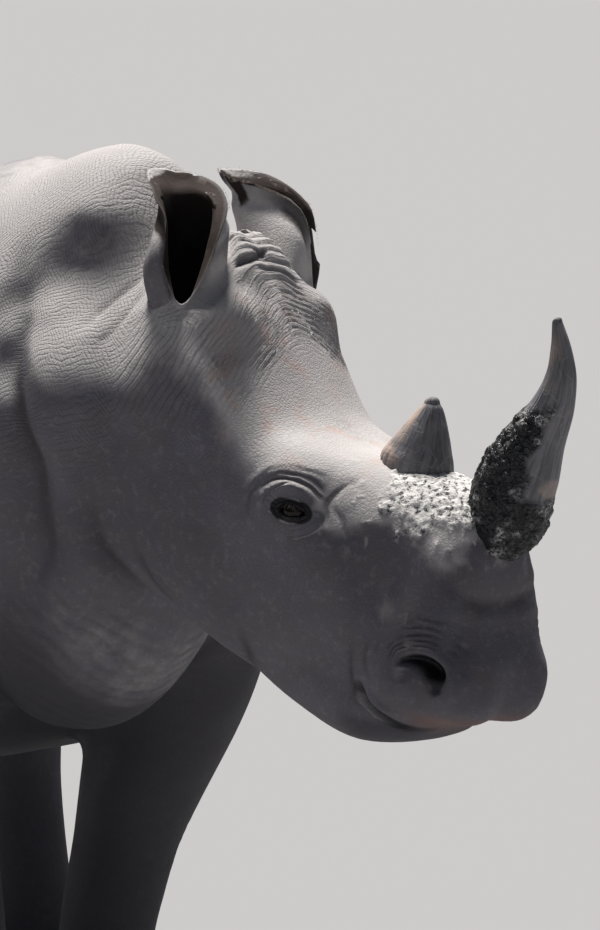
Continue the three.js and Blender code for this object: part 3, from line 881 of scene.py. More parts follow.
def build_hide(voxel, triangles):
    """The whole skin, from the coarse solids to the finished mesh, with what its finish reads at each place."""
    hide = base_form(voxel)
    add_ears(hide)
    blend_ear_roots(hide)
    head = skin_state(hide)[2]
    refine(hide, (head[:, 0] > -130) & (ear_share(head) < 0.6))
    head = skin_state(hide)[2]
    forward, left, up = head.T
    crown = (forward > -100) & (forward - up < 420) & (up > -230) & (np.abs(left) < 150) & (ear_share(head) < 0.5)
    nose = (forward > 380) & (up > -380)
    refine(hide, crown | nose | near(head, (275, 150, -350), 80) | near(head, (520, 130, -585), 100)
           | near(head, (460, 110, -650), 60))
    for reach in (56, 40):
        refine(hide, near(skin_state(hide)[2], EYE_MIDDLE, reach), 2)
    groove = apply_forms(hide)
    for name, shape in (("wet_eyes", open_eyes), ("wet_nostrils", open_nostrils)):
        depth, wet = shape(hide)
        groove = np.maximum(groove, depth)
        store(hide, **{name: wet})
    # The depth in the folds is kept for painted shade in the creases.
    store(hide, fold=groove)
    cake_mud(hide)
    apply_modifier(hide, "TRIANGULATE")
    head = skin_state(hide)[2]
    thin_out(hide, ramp(-110, -190, head[:, 0]) * (1 - ear_share(head)), 0.43 * triangles)
    head = skin_state(hide)[2]
    thin_out(hide, ramp(-190, -110, head[:, 0]) * (1 - near(head, EYE_MIDDLE, 50)), triangles, total=True)
    stand(hide)
    return hide


def ear_marks(straight, normal, ear):
    """Where the skin lies inside an ear and how deep, for its painted shade; on its edge, for a dark band that is
    partly painted shade; and on the left ear's lobe, for a painted highlight.
    """
    marks = np.zeros((4, len(ear)))
    for side in SIDES.values():
        ahead, beside, height = (straight - EAR_FOOT * (1, side, 1)).T
        along, across = turned(ahead, beside, side * EAR_TURN)
        centre, deep, half = ear_section(height, side)
        along = along - centre
        radial = np.hypot(along / deep, across / half)
        angle = np.arctan2(-side * across / half, along / deep)
        below = ear_edge(angle, side) - height
        close = ((radial < 1.6) & (height > HOLLOW_FLOOR - 6) & (height < 275)
                 & (np.abs(beside) < 110) & (np.abs(ahead) < 140))
        out = facing_out(straight, normal, along, across, side * EAR_TURN)
        tucked = float(side > 0) * ramp(-0.3, 0.2, np.sin(angle)) * ramp(80, 120, height)
        wall = np.maximum(ramp(0.15, -0.15, out), ramp(0.9, 0.7, radial) * (1 - tucked))
        hollow = wall * ramp(1.2, 1.0, radial) * ramp(HOLLOW_FLOOR - 6, HOLLOW_FLOOR, height) * ramp(70, 30, -below)
        # The rim's inner and upward faces are painted dark: partly darker rim skin, partly painted shade over the lit
        # ledge.
        inner_face = np.maximum(ramp(0.15, -0.15, out), ramp(0.05, 0.4, normal[:, 2]) * ramp(50, 90, height))
        # Painted shade: the hollow darkens with depth; the lobe is marked for painted sunlight.
        found = (hollow, hollow * ramp(14, 84, below), (ear > 0.5) * ramp(40, 26, below) * inner_face,
                 tucked * ear * ramp(-0.1, 0.2, out))
        marks = np.maximum(marks, np.where(close, found, 0))
    return marks


def facing_out(straight, normal, along, across, turn):
    """How much the surface faces away from the ear's own axis."""
    heading = NECK_TURN * np.clip((straight[:, 0] - TURN_START) / (TURN_END - TURN_START), 0, 1) + turn
    nx = normal[:, 0] * np.cos(heading) + normal[:, 1] * np.sin(heading)
    ny = normal[:, 1] * np.cos(heading) - normal[:, 0] * np.sin(heading)
    return (nx * along + ny * across) / np.maximum(np.hypot(along, across), 1)


def mark_hide(hide):
    """Stores what the finish reads: the place in the straightened animal, and where each colour and wrinkle lies."""
    _, straight, head, normal = skin_state(hide)
    x, y, z = straight.T
    forward, _, up = head.T
    ear = ear_share(head)
    inside, depth, band, lobe = ear_marks(straight, normal, ear)
    phase, side_phase, _, brow, temple = brow_fields(head)
    middle = 1130 + 200 * ramp(500, 1000, x)
    # Pale dust on the upward faces: real dust, and painted sunlight on the tops.
    top = ramp(0.05, 0.62, normal[:, 2]) * ramp(600, 1000, z) * (0.42 + 0.58 * ramp(500, 850, x))
    chest = ramp(820, 940, x) * ramp(1130, 1060, x) * ramp(1080, 960, z) * ramp(780, 860, z)
    clean = 1 - 0.9 * ramp(420, 500, forward) * ramp(-395, -440, up)
    lip = ramp(-628, -650, up) * ramp(470, 520, forward) * ramp(-715, -680, up)
    sore = ramp(15, 5, np.linalg.norm(head - (588, 20, -418), axis=1))
    # The chin and lower lip are painted darker, partly as painted shade under the upper lip.
    chin = ramp(330, 400, forward) * ramp(-655, -672, up) * ramp(520, 470, forward)
    muzzle = ramp(420, 520, forward) * ramp(-470, -560, up)
    # Painted shade: the downward faces of the chest and belly are painted dark where the body's shade falls.
    under = ramp(0.1, -0.6, normal[:, 2]) * ramp(1130, 950, z) * ramp(1000, 900, x)
    # Painted shade: the legs are painted dark for the body's shadow over them.
    limbs = ramp(900, 700, z) * ramp(1000, 900, x)
    store(
        hide, flow=straight / 1000, mud=mud_share(head), legs=ramp(820, 640, z) * ramp(1000, 900, x),
        around=np.arctan2(np.abs(y), z - middle) * (420 - 230 * ramp(700, 1150, x)),
        brow_phase=phase, brow=brow * (1 - ear), temple_phase=side_phase, temple=temple * (1 - ear),
        ear_inside=inside, ear_depth=depth, ear_edge=band,
        # Real dust and painted sunlight: partly painted sunlight on the tops, more on the brow, wholly painted
        # sunlight on the left ear's lobe.
        dust=np.clip(top + 0.3 * chest + 0.6 * brow + lobe, 0, 1) * clean,
        # A darker chin and muzzle, painted shade under the lip, and painted shade on the belly and legs.
        pink=np.clip(lip + sore, 0, 1), dark=np.clip(0.8 * chin + 0.3 * muzzle + under + 0.85 * limbs, 0, 1),
        feet=ramp(140, 20, z), neck=ramp(560, 700, x) * ramp(1130, 1085, x) * ramp(1180, 1320, z),
        rosy=ramp(60, 110, forward) * ramp(520, 380, forward) * ramp(-330, -240, up))


def mud_share(head):
    """Where dried mud lies on the bridge of the nose."""
    forward, left, up = head.T
    edge = noise(head / 34, 51) * 20 + noise(head / 12, 52) * 12 + noise(head / 5, 56) * 5
    reach = np.sqrt(((forward - 472) / 92) ** 2 + (left / 118) ** 2) * 90 + np.maximum(-338 - up, 0) * 0.8
    bridge = ramp(104, 84, reach + edge) * ramp(-425, -385, up)
    spots = ramp(0.5, 0.6, noise(head / 12, 53)) * ramp(-430, -370, up)
    spots *= ramp(300, 360, forward) * ramp(600, 560, forward)
    return np.clip(np.maximum(bridge, 0.4 * spots), 0, 1)


def cake_mud(hide):
    """Raises the dried mud into lumps and cracks."""
    points, _, head, normal = skin_state(hide)
    lumps = 1.4 + 2.4 * np.abs(noise(head / 17, 54)) + 2.2 * noise(head / 9, 55) + 1.5 * noise(head / 5, 57)
    put(hide, points + (mud_share(head) * np.maximum(lumps, -0.4))[:, None] * normal)


# ---- Finishes ----

class Wire:
    """An output socket. Sums, products and the like of wires and numbers add Math nodes."""

    def __init__(self, finish, socket):
        self.finish, self.socket = finish, socket

    def math(self, operation, *others):
        return self.finish.node("Math", {"operation": operation}, {0: self, **dict(enumerate(others, 1))})

    def __add__(self, other):
        return self.math("ADD", other)

    def __sub__(self, other):
        return self.math("SUBTRACT", other)

    def __rsub__(self, other):
        return self.finish.node("Math", {"operation": "SUBTRACT"}, {0: other, 1: self})

    def __mul__(self, other):
        return self.math("MULTIPLY", other)

    def __abs__(self):
        return self.math("ABSOLUTE")

    __radd__, __rmul__ = __add__, __mul__


class Finish:
    """A material, with one method that makes any node from its type, its settings and its sockets."""

    def __init__(self, name, **shader):
        self.material = bpy.data.materials.new(name)
        self.material.use_nodes = True
        self.tree = self.material.node_tree
        self.tree.nodes.clear()
        self.shader = self.tree.nodes.new("ShaderNodeBsdfPrincipled")
        output = self.tree.nodes.new("ShaderNodeOutputMaterial")
        self.tree.links.new(self.shader.outputs[0], output.inputs[0])
        for key, value in shader.items():
            self.set(self.shader, key.replace("_", " "), value)

    def set(self, node, key, value):
        socket = node.inputs[key]
        if isinstance(value, Wire):
            self.tree.links.new(value.socket, socket)
        elif socket.type == "RGBA" and len(value) == 3:
            socket.default_value = (*value, 1)
        else:
            socket.default_value = value

    def node(self, kind, settings=None, sockets=None, output=0):
        node = self.tree.nodes.new("ShaderNode" + kind)
        for key, value in (settings or {}).items():
            setattr(node, key, value)
        for key, value in (sockets or {}).items():
            self.set(node, key, value)
        return Wire(self, node.outputs[output])

    def attributes(self, *names):
        """The numbers stored on the mesh under some names."""
        return [self.node("Attribute", {"attribute_name": name}, output="Fac") for name in names]

    def place(self, name, stretch=(1, 1, 1)):
        """A stored place, stretched."""
        stored = self.node("Attribute", {"attribute_name": name}, output="Vector")
        return self.node("VectorMath", {"operation": "MULTIPLY"}, {0: stored, 1: stretch})

    def noise(self, vector, scale, detail=2.0, roughness=0.5):
        return self.node("TexNoise", {}, {"Vector": vector, "Scale": scale, "Detail": detail,
                                          "Roughness": roughness}, "Fac")

    def cells(self, vector, scale):
        """Distance from the edges between cells."""
        settings = {"feature": "DISTANCE_TO_EDGE"}
        return self.node("TexVoronoi", settings, {"Vector": vector, "Scale": scale}, "Distance")

    def fade(self, value, low, high):
        """0 at low, 1 at high, smooth between them."""
        return self.node("MapRange", {"interpolation_type": "SMOOTHSTEP"},
                         {"Value": value, "From Min": low, "From Max": high})

    def valleys(self, phase, width=0.25):
        """1 in narrow valleys, one to a unit of phase, and 0 on the ridges between them."""
        return self.fade(abs(phase.math("FRACT") - 0.5), 0.5 * width, 0.0)

    def mix(self, share, a, b):
        return self.node("Mix", {"data_type": "RGBA", "clamp_factor": True}, {0: share, 6: a, 7: b}, 2)

    def layers(self, colour, *layers):
        """A colour under others, each laid on by a share."""
        for share, tint in layers:
            colour = self.mix(share, colour, tint)
        return colour

    def warp(self, vector, scale, by):
        """vector moved about by noise."""
        shift = self.node("TexNoise", {}, {"Vector": vector, "Scale": scale, "Detail": 1.0}, "Color")
        shift = self.node("VectorMath", {"operation": "SUBTRACT"}, {0: shift, 1: (0.5, 0.5, 0.5)})
        shift = self.node("VectorMath", {"operation": "SCALE"}, {0: shift, "Scale": by})
        return self.node("VectorMath", {"operation": "ADD"}, {0: vector, 1: shift})

    def done(self, colour, roughness=None, height=None):
        """The material with its colour, roughness and relief, the last from a height in millimetres."""
        if height is not None:
            sockets = {"Strength": 1.0, "Distance": 0.001, "Height": height}
            self.set(self.shader, "Normal", self.node("Bump", {}, sockets))
        if roughness is not None:
            self.set(self.shader, "Roughness", roughness)
        self.set(self.shader, "Base Color", colour)
        return self.material


def hide_finish(look):
    finish = Finish("rhino_hide", Specular_IOR_Level=0.3)
    noise_of, fade, valleys, warp, mix = finish.noise, finish.fade, finish.valleys, finish.warp, finish.mix
    flow = finish.place("flow")
    fold, mud, dust, legs, around, neck, feet = finish.attributes(
        "fold", "mud", "dust", "legs", "around", "neck", "feet")
    inside, edge, deep, brow, temple = finish.attributes("ear_inside", "ear_edge", "ear_depth", "brow", "temple")
    brow_phase, temple_phase, wet_eye, wet_nose = finish.attributes(
        "brow_phase", "temple_phase", "wet_eyes", "wet_nostrils")
    dark, pink, rosy = finish.attributes("dark", "pink", "rosy")
    broad = noise_of(flow, 4.0, 3.0, 0.55)
    blotch = noise_of(flow, 19.0, 4.0, 0.6)
    speck = noise_of(flow, 75.0, 3.0, 0.6)
    grain = noise_of(flow, 420.0, 2.0, 0.6)
    plates = fade(finish.cells(warp(flow, 40.0, 0.010), 150.0), 0.22, 0.0)
    nicks = fade(finish.cells(warp(flow, 120.0, 0.004), 330.0), 0.22, 0.0)
    # Two fine sets of wrinkles cross the neck and the loose skin, each strongest in its own patches.
    along = finish.node("SeparateXYZ", {}, {0: flow}, 0)
    rise = around * 0.001
    drift = noise_of(flow, 14.0, 2.0) * 6.0 + speck * 0.9
    patch = fade(noise_of(flow, 30.0, 1.0), 0.36, 0.64)
    skin = (1 - inside) * (1 - mud)
    loose = fade(broad + neck * 0.5, 0.38, 0.6) * (1 - legs) * (1 - brow) * (1 - edge) * skin
    lean = valleys(along * 130.0 + rise * 108.0 + drift, 0.55) * (0.35 + patch * 0.65)
    cross = valleys(along * 112.0 - rise * 126.0 + drift, 0.55) * (1 - patch * 0.65)
    hatch = (lean + cross) * loose * (0.3 + neck * 0.7)
    creases = valleys(brow_phase, 0.5) * brow
    finer = valleys(brow_phase * 2.0 + blotch * 2.0, 0.5) * brow
    sides = valleys(temple_phase, 0.5) * temple
    clods = fade(noise_of(warp(flow, 60.0, 0.010), 120.0, 4.0, 0.6), 0.50, 0.36)
    crumbs = noise_of(flow, 150.0, 4.0, 0.7)
    height = (grain * 0.16 - plates * 0.26 * skin - nicks * 0.10 - hatch * 0.48 - creases * 1.0 - finer * 0.35
              - sides * 0.9 + blotch * 0.8 + speck * 0.5 + mud * (crumbs * 2.6 - clods * 1.0))
    # Real dust, with painted sunlight on the tops, the brow and the left ear's lobe.
    dusty = fade(dust + (blotch - 0.5) * 0.7, 0.15, 0.8)
    # Painted shade: the valleys of the plates, nicks and wrinkles are painted darker.
    lines = plates * 0.07 + nicks * 0.03 + hatch * 0.22 + creases * 0.3 + finer * 0.1 + sides * 0.22
    # Painted shadow: the low spots between the crumbs and clods of the dried mud are darker.
    dry = mix(fade(crumbs - clods * 0.25, 0.2, 0.5), look.mud_shadow, look.mud)
    colour = finish.layers(
        look.grey,
        (fade(broad, 0.32, 0.68), look.pale_grey),
        (fade(blotch, 0.35, 0.7) * 0.4, look.warm_grey),
        (fade(speck, 0.5, 0.75) * 0.12, look.dust),
        (dusty * 0.85, look.dust),
        (fade(noise_of(flow, 24.0, 3.0), 0.52, 0.66) * dusty * rosy * 0.5, look.rosy_dust),
        # Painted shade in the valleys of the wrinkles and the bottoms of the folds.
        (lines * (1 - mud), look.crease),
        (fold * 0.62, look.crease),
        (pink * 0.8, look.pink),
        # Painted shade on the belly and legs and partly under the lip, with a darker chin and muzzle.
        (dark * 0.85, look.dark),
        # The ears' edges painted dark: darker rim skin and painted shade.
        (edge * 0.9, look.ear_rim),
        # Painted shade inside the ears: brownish skin near the rim, turning near black deep in the hollow.
        (fade(inside, 0.1, 0.6), mix(deep, look.ear_inside, look.ear_depth)),
        (feet * 0.35, look.dust),
        (mud, dry),
        # Wet skin with painted shade at the lids and in the nostrils.
        (fade(wet_eye, 0.05, 0.6) * 0.96, look.wet_skin),
        (fade(wet_nose, 0.1, 0.8) * 0.95, look.wet_skin))
    roughness = 0.74 + blotch * 0.2 - fade(wet_eye, 0.5, 1.0) * 0.42 - fade(wet_nose, 0.2, 0.9) * 0.4
    return finish.done(colour, roughness, height)


def horn_finish(look, name, muddy):
    finish = Finish(name, Specular_IOR_Level=0.4)
    noise_of, fade, mix = finish.noise, finish.fade, finish.mix
    flow = finish.place("flow")
    along = finish.node("SeparateXYZ", {}, {0: finish.place("grain")}, 2)
    base, tan = finish.attributes("base", "tan")
    fibre = noise_of(finish.place("grain", (1, 1, 0.05)), 420.0, 3.0, 0.6)
    streak = noise_of(finish.place("grain", (1, 1, 0.12)), 120.0, 3.0, 0.6)
    wear = noise_of(flow, 26.0, 3.0, 0.6)
    ring = finish.valleys(along * 60.0 + streak * 2.0, 0.5)
    scratch = fade(abs(noise_of(finish.warp(flow, 9.0, 0.05), 24.0, 1.0) - 0.5), 0.012, 0.0)
    height = fibre * 0.5 + streak * 0.9 - ring * base * 0.3 + noise_of(flow, 300.0, 2.0) * 0.2 - scratch * 0.3
    colour = finish.layers(
        look.horn_dark,
        (fade(streak, 0.3, 0.72), look.horn),
        (fade(fibre, 0.5, 0.8) * 0.45, look.horn_pale),
        (fade(wear, 0.5, 0.75) * 0.3, look.horn_pale),
        (scratch * 0.55, look.horn_pale),
        (tan * fade(wear, 0.3, 0.6) * 0.85, look.horn_tan))
    roughness = 0.5 + fibre * 0.25
    if muddy:
        mud, dry = finish.attributes("mud", "dry")
        crumbs = noise_of(flow, 210.0, 3.0, 0.65)
        clods = fade(finish.cells(flow, 105.0), 0.14, 0.0)
        height = height * (1 - mud) + mud * (crumbs * 3.2 - clods * 1.2)
        wet = mix(fade(crumbs, 0.4, 0.75), look.wet_mud, look.mud_shadow)
        # Painted shadow in the low spots between the crust's crumbs.
        crust = mix(fade(crumbs, 0.38, 0.66), look.mud_shadow, look.mud)
        colour = mix(mud, colour, mix(dry, wet, crust))
        roughness = roughness * (1 - mud) + mud * (0.42 + dry * 0.5)
    return finish.done(colour, roughness, height)


def nail_finish(look):
    finish = Finish("toenail", Specular_IOR_Level=0.35)
    flow = finish.place("flow")
    up = finish.node("SeparateXYZ", {}, {0: flow}, 2)
    streak = finish.noise(finish.place("flow", (260, 260, 20)), 1.0, 3.0)
    wear = finish.noise(flow, 60.0, 3.0)
    colour = finish.layers(look.nail_dark, (finish.fade(streak, 0.35, 0.7), look.nail),
                           (finish.fade(up + wear * 0.03, 0.05, 0.015) * 0.7, look.dust))
    height = streak * 0.8 + wear * 0.5 - finish.valleys(up * 90.0 + wear, 0.4) * 0.3
    return finish.done(colour, 0.55 + wear * 0.3, height)


PUPIL_BLACK = (0.002, 0.002, 0.002)


def eye_finish(look):
    finish = Finish("eye", Specular_IOR_Level=0.15, Coat_Weight=0.15, Coat_Roughness=0.03)
    wide, slot = (
        finish.node("VectorMath", {"operation": "LENGTH"}, {0: finish.place("eye_place", stretch)}, "Value")
        for stretch in ((1, 1, 0), (0.72, 1.35, 0)))
    rays = finish.noise(finish.place("eye_place"), 220.0, 2.0)
    colour = finish.layers(
        look.iris_dark, (finish.fade(rays, 0.3, 0.7), look.iris),
        (finish.fade(slot, 0.0052, 0.0044), PUPIL_BLACK), (finish.fade(wide, 0.0118, 0.0132), look.eye_rim))
    return finish.done(colour, 0.14 + rays * 0.06)


def hair_finish(look):
    finish = Finish("bristle", Specular_IOR_Level=0.35, Roughness=0.55)
    shade = finish.noise(finish.place("flow"), 90.0, 2.0)
    return finish.done(finish.mix(finish.fade(shade, 0.3, 0.7), look.hair_dark, look.hair))


# ---- Eyes, horns and toenails ----

def build_eye(side_name, radius):
    """An eyeball with a clear bulge in front, a wet black slot of a pupil and a dark brown iris."""
    side = SIDES[side_name]
    eyeball, _, _ = ball("eyeball_" + side_name, 64, 48)
    unit = places(eyeball) / 1000
    unit /= np.linalg.norm(unit, axis=1)[:, None]
    bulge = 1 + 0.055 * ramp(0.72, 0.93, unit[:, 2])
    local = unit * (radius * bulge)[:, None]
    put(eyeball, from_head(EYE * (1, side, 1) + local @ np.array(frame_at(side, EYE_OUT))))
    store(eyeball, eye_place=local / 1000)
    return face_out(eyeball)


# A horn's sections from root to tip: its middle, forward and up from the poll, half length, half width and lean.
FRONT_HORN = (
    (540, -372, 50, 44, -0.6), (568, -322, 66, 56, -0.6), (590, -258, 61, 54, -0.45), (612, -204, 46, 42, -0.36),
    (637, -152, 33, 31, -0.2), (647, -106, 23, 22, 0.0), (642, -64, 15, 15, 0.15), (631, -28, 7.5, 7.5, 0.3),
)
REAR_HORN = (
    (383, -330, 48, 42, -0.16), (386, -280, 61, 53, -0.16), (392, -246, 49, 44, -0.1), (399, -214, 33, 31, 0.0),
    (404, -190, 20, 19, 0.1), (406, -180, 12, 12, 0.1),
)


DOME_START = 0.93  # the share of a horn's length after which its tip rounds over


def build_horn(name, sections, around, down):
    """A horn of pressed fibres, frayed at its root, with its fibres and growth steps raised."""
    horn, angle, latitude = ball(name, around, down)
    level = (1 + latitude) / 2
    stations = np.linspace(0, 1, len(sections))
    body = np.clip(level / DOME_START, 0, 1)
    dome = np.clip((level - DOME_START) / (1 - DOME_START), 0, 1)
    forward, up, half_length, half_width, lean = (table(stations, column, body) for column in zip(*sections))
    shrink = np.sqrt(np.clip(1 - dome ** 2, 0, 1)) * np.where(level < 0.002, 0, 1)
    tip_rise = dome * half_length * 0.9
    strands = np.stack([np.cos(angle) * 18, np.sin(angle) * 18, level * 4], -1)
    root = ramp(0.42, 0.0, level)
    ruffle = (0.5 + 1.3 * root) * noise(strands, 61) + (0.3 + 0.5 * root) * noise(strands * (2.3, 2.3, 3), 62)
    step = 0.9 * root * noise(np.stack([level * 34 + 0.4 * np.cos(angle), np.cos(angle), np.sin(angle)], -1), 63)
    reach = np.cos(angle) * (half_length + ruffle + step) * shrink
    place = np.stack([
        forward + reach * np.cos(lean),
        np.sin(angle) * (half_width + ruffle + step) * shrink,
        up + reach * np.sin(lean) + tip_rise], -1)
    grain = np.stack([np.cos(angle) * 50, np.sin(angle) * 50, level * 380], -1) / 1000
    store(horn, grain=grain, base=ramp(0.5, 0.1, level), flow=place / 1000)
    return horn, place, angle, level


def build_front_horn():
    """The long front horn, with mud up its back and all round its root."""
    horn, place, angle, _ = build_horn("horn_front_fibres", FRONT_HORN, 200, 170)
    edge = rough(place / 30, 71) * 0.35
    behind = np.abs(np.degrees(np.arctan2(np.sin(angle), -np.cos(angle))))
    height = place[:, 2] + 18 * edge
    mud = ramp(138, 118, behind + 30 * edge) * ramp(-150, -172, height) + ramp(-296, -312, height)
    mud = np.clip(mud, 0, 1)
    dry = 0.75 * ramp(0.25, 0.9, noise(place / 16, 72) + 0.5 * ramp(-215, -170, place[:, 2]))
    outward = np.stack([np.cos(angle), np.sin(angle), np.zeros(len(angle))], -1)
    clods = np.maximum(2.2 + 3.6 * noise(place / 11, 73) + 2.2 * noise(place / 5, 74), 0)
    put(horn, from_head(place + (mud * clods)[:, None] * outward))
    store(horn, mud=mud, dry=dry, tan=ramp(0.2, 0.6, noise(place / 40, 75)) * 0.5)
    return face_out(horn)


def build_rear_horn():
    """The short rear horn, tan on its back."""
    horn, place, angle, level = build_horn("horn_rear_fibres", REAR_HORN, 150, 90)
    put(horn, from_head(place))
    rearward = ramp(-0.1, 0.45, -np.cos(angle) - 0.25 * noise(place / 18, 76))
    store(horn, tan=rearward * ramp(0.1, 0.3, level))
    return face_out(horn)


def build_nail(node, foot_centre):
    """A toenail worn smooth, with its back pressed into the foot and fine ridges down its front."""
    nail = copy_nodes("toe" + node, [node])
    remesh(nail, 0.0026)
    ease(nail, 0.5, 10)
    points, normal = places(nail), normals(nail)
    outward = points - foot_centre
    outward[:, 2] = 0
    outward /= np.linalg.norm(outward, axis=1)[:, None]
    facing = (normal * outward).sum(axis=1)
    ridges = noise(np.stack([points[:, 0] / 5, points[:, 1] / 5, points[:, 2] / 60], -1), 81)
    worn = noise(points / 14, 82)
    points += (ramp(0.0, 0.5, facing) * (0.6 * ridges + 0.7 * worn))[:, None] * normal
    points -= (14 * ramp(-0.1, -0.7, facing))[:, None] * outward
    points[:, 2] = np.maximum(points[:, 2], 2)
    put(nail, points)
    store(nail, flow=straighten(points) / 1000)
    return nail


# ---- Hair ----

HAIR_RINGS = 6  # rings of three corners to a hair
HAIR_CORNERS = (0.0, 2.0944, 4.1888)
HAIR_PATCH = 0.003  # width of a hair's place on the unwrap


def grow(name, roots, lean, length, width, sag, patch, seed):
    """Thin tapering hairs as one solid mesh: places of the roots, which way each leans, sizes in millimetres.

    sag is how far each hair falls for its length, and patch the place of each root on the coat's own unwrap.
    """
    count, rings = len(roots), HAIR_RINGS
    length, width, sag = (np.broadcast_to(size, count) for size in (length, width, sag))
    rng = np.random.default_rng(seed)
    lean = lean / np.linalg.norm(lean, axis=1)[:, None]
    side = np.cross(lean, rng.normal(size=(count, 3)))
    side /= np.linalg.norm(side, axis=1)[:, None]
    other = np.cross(lean, side)
    curl, phase = rng.normal(0, 0.05, count), rng.uniform(0, 6.3, count)
    corners = []
    for ring in range(rings):
        t = ring / (rings - 1)
        wave = (curl * np.sin(phase + 4 * t) - curl * np.sin(phase)) * length
        middle = roots + lean * (length * t)[:, None] + side * wave[:, None]
        middle[:, 2] -= sag * length * t * t
        thick = width * (1 - 0.82 * t ** 1.5)
        for turn in HAIR_CORNERS:
            corners.append(middle + (side * math.cos(turn) + other * math.sin(turn)) * thick[:, None] / 2)
    points = np.stack(corners, axis=1).reshape(-1, 3)
    faces, spots = [], []
    for ring in range(rings - 1):
        for k in range(3):
            a, b = ring * 3 + k, ring * 3 + (k + 1) % 3
            faces.append((a, b, b + 3, a + 3))
            spots += [((k + over) / 3, (ring + up) / (rings - 1)) for over, up in ((0, 0), (1, 0), (1, 1), (0, 1))]
    stride = 3 * rings
    faces += [(2, 1, 0), (stride - 3, stride - 2, stride - 1)]
    spots = np.array(spots + [(0.5, 0)] * 3 + [(0.5, 1)] * 3)
    mesh = bpy.data.meshes.new(name)
    whole = [tuple(strand * stride + v for v in face) for strand in range(count) for face in faces]
    mesh.from_pydata((points / 1000).tolist(), [], whole)
    uv = patch[:, None, :] + HAIR_PATCH * (spots[None, :, :] - 0.5)
    mesh.uv_layers.new(name="OFBake").data.foreach_set("uv", uv.astype(np.float32).ravel())
    hair = bpy.data.objects.new(name, mesh)
    bpy.context.scene.collection.objects.link(hair)
    store(hair, flow=np.repeat(roots, stride, axis=0) / 1000)
    return hair


def ear_fringe(count, length):
    """Short hairs along the outturned edge of each ear, thickest at its tip."""
    roots, leans, spots = [], [], []
    rng = np.random.default_rng(5)
    for column, side in enumerate(SIDES.values()):
        angle = rng.uniform(-math.pi, math.pi, count)
        angle = angle[np.abs(angle) > 0.5]  # none in the notch
        level = rng.uniform(0.0, 0.012, len(angle))
        rim = ear_surface(angle, level, side)
        beyond = ear_surface(angle, level + 0.1, side)
        outward = np.stack([np.cos(angle), -side * np.sin(angle), np.zeros(len(angle))], -1)
        aim = (rim - beyond) / np.linalg.norm(rim - beyond, axis=1)[:, None] + 0.35 * outward
        aim += rng.normal(0, 0.25, aim.shape)
        here, there = ear_place(rim, side), ear_place(rim + aim, side)
        roots.append(here)
        leans.append(there - here)
        round_ear = (angle + math.pi) / (2 * math.pi)
        spots.append(np.stack([0.02 + 0.4 * column + 0.36 * round_ear, 0.05 + level * 8], -1))
    roots, leans, spots = map(np.vstack, (roots, leans, spots))
    return grow("ear_fringe", roots, leans, length * rng.uniform(0.4, 1.0, len(roots)), 0.35, 0.1, spots, 6)


LASH_RADIUS = 22.6  # of the lids over the eyeball, where the lashes root


def lashes(count, length):
    """Sparse dark lashes on both lids."""
    roots, leans, spots = [], [], []
    rng = np.random.default_rng(8)
    for column, side in enumerate(SIDES.values()):
        forward, up, out = frame_at(side, EYE_OUT)
        for row, share in enumerate((0.66, 0.34)):
            on_lid = int(count * share)
            along = np.linspace(-0.8, 0.86, on_lid) * EYE_SLIT + rng.uniform(-0.8, 0.8, on_lid)
            way = 1 - 2 * row
            across = lid_edges(along)[row] + way * 1.6
            height = np.sqrt(np.maximum(LASH_RADIUS ** 2 - along ** 2 - across ** 2, 60)) - 1.5
            local = along[:, None] * forward + across[:, None] * up + height[:, None] * out
            aim = (along / 60)[:, None] * forward + out * 0.9 + up * (0.1 * way - 0.5)
            aim = aim + rng.normal(0, 0.12, aim.shape)
            here, there = from_head(EYE * (1, side, 1) + local), from_head(EYE * (1, side, 1) + local + aim)
            roots.append(here)
            leans.append(there - here)
            spots.append(np.stack([0.1 + 0.4 * column + along / 200, np.full(len(along), 0.4 + 0.1 * row)], -1))
    roots, leans, spots = map(np.vstack, (roots, leans, spots))
    return grow("lashes", roots, leans, length * rng.uniform(0.6, 1.0, len(roots)), 0.8, 0.35, spots, 9)


TAIL_HEIGHTS, TAIL_GIRTHS, TAIL_BACKS = (690, 780, 870), (5, 11, 14), (-1447, -1446, -1444)
TUFT_TOP, TUFT_DROP, TUFT_END = 868, 170, 578


def tail_tuft(count, length):
    """Coarse black hairs round the end of the tail, hanging past it."""
    rng = np.random.default_rng(12)
    turn = rng.uniform(-math.pi, math.pi, count)
    down = rng.uniform(0, 1, count) ** 0.7
    height = TUFT_TOP - TUFT_DROP * down
    lie = np.stack([np.cos(turn), np.sin(turn)], -1) * (1, 1.25)
    girth, back = (table(TAIL_HEIGHTS, column, height) for column in (TAIL_GIRTHS, TAIL_BACKS))
    roots = np.stack([back + lie[:, 0] * girth * 0.8, lie[:, 1] * girth * 0.8, height], -1)
    leans = np.stack([lie[:, 0] * 0.16, lie[:, 1] * 0.2, -np.ones(count)], -1) + rng.normal(0, 0.03, (count, 3))
    sizes = length * rng.uniform(0.5, 1.0, count) * (1 - 0.25 * down)
    sizes = np.minimum(sizes, (roots[:, 2] - TUFT_END) / 1.1)
    spots = np.stack([0.05 + 0.9 * (turn + math.pi) / (2 * math.pi), 0.6 + 0.3 * down], -1)
    return grow("tail_hair", roots, leans, sizes, 1.6, 0.0, spots, 13)


# ---- Settings ----

def colour_setting(name, description, default):
    return FloatVectorProperty(
        name=name, description=description, default=default, size=3, min=0, max=1, subtype="COLOR")


def length_setting(name, description, default):
    return FloatProperty(
        name=name, description=description, default=default, min=0.0001, subtype="DISTANCE", unit="LENGTH")


def count_setting(name, description, default, least=0, most=199000):
    return IntProperty(name=name, description=description, default=default, min=least, max=most, subtype="UNSIGNED")


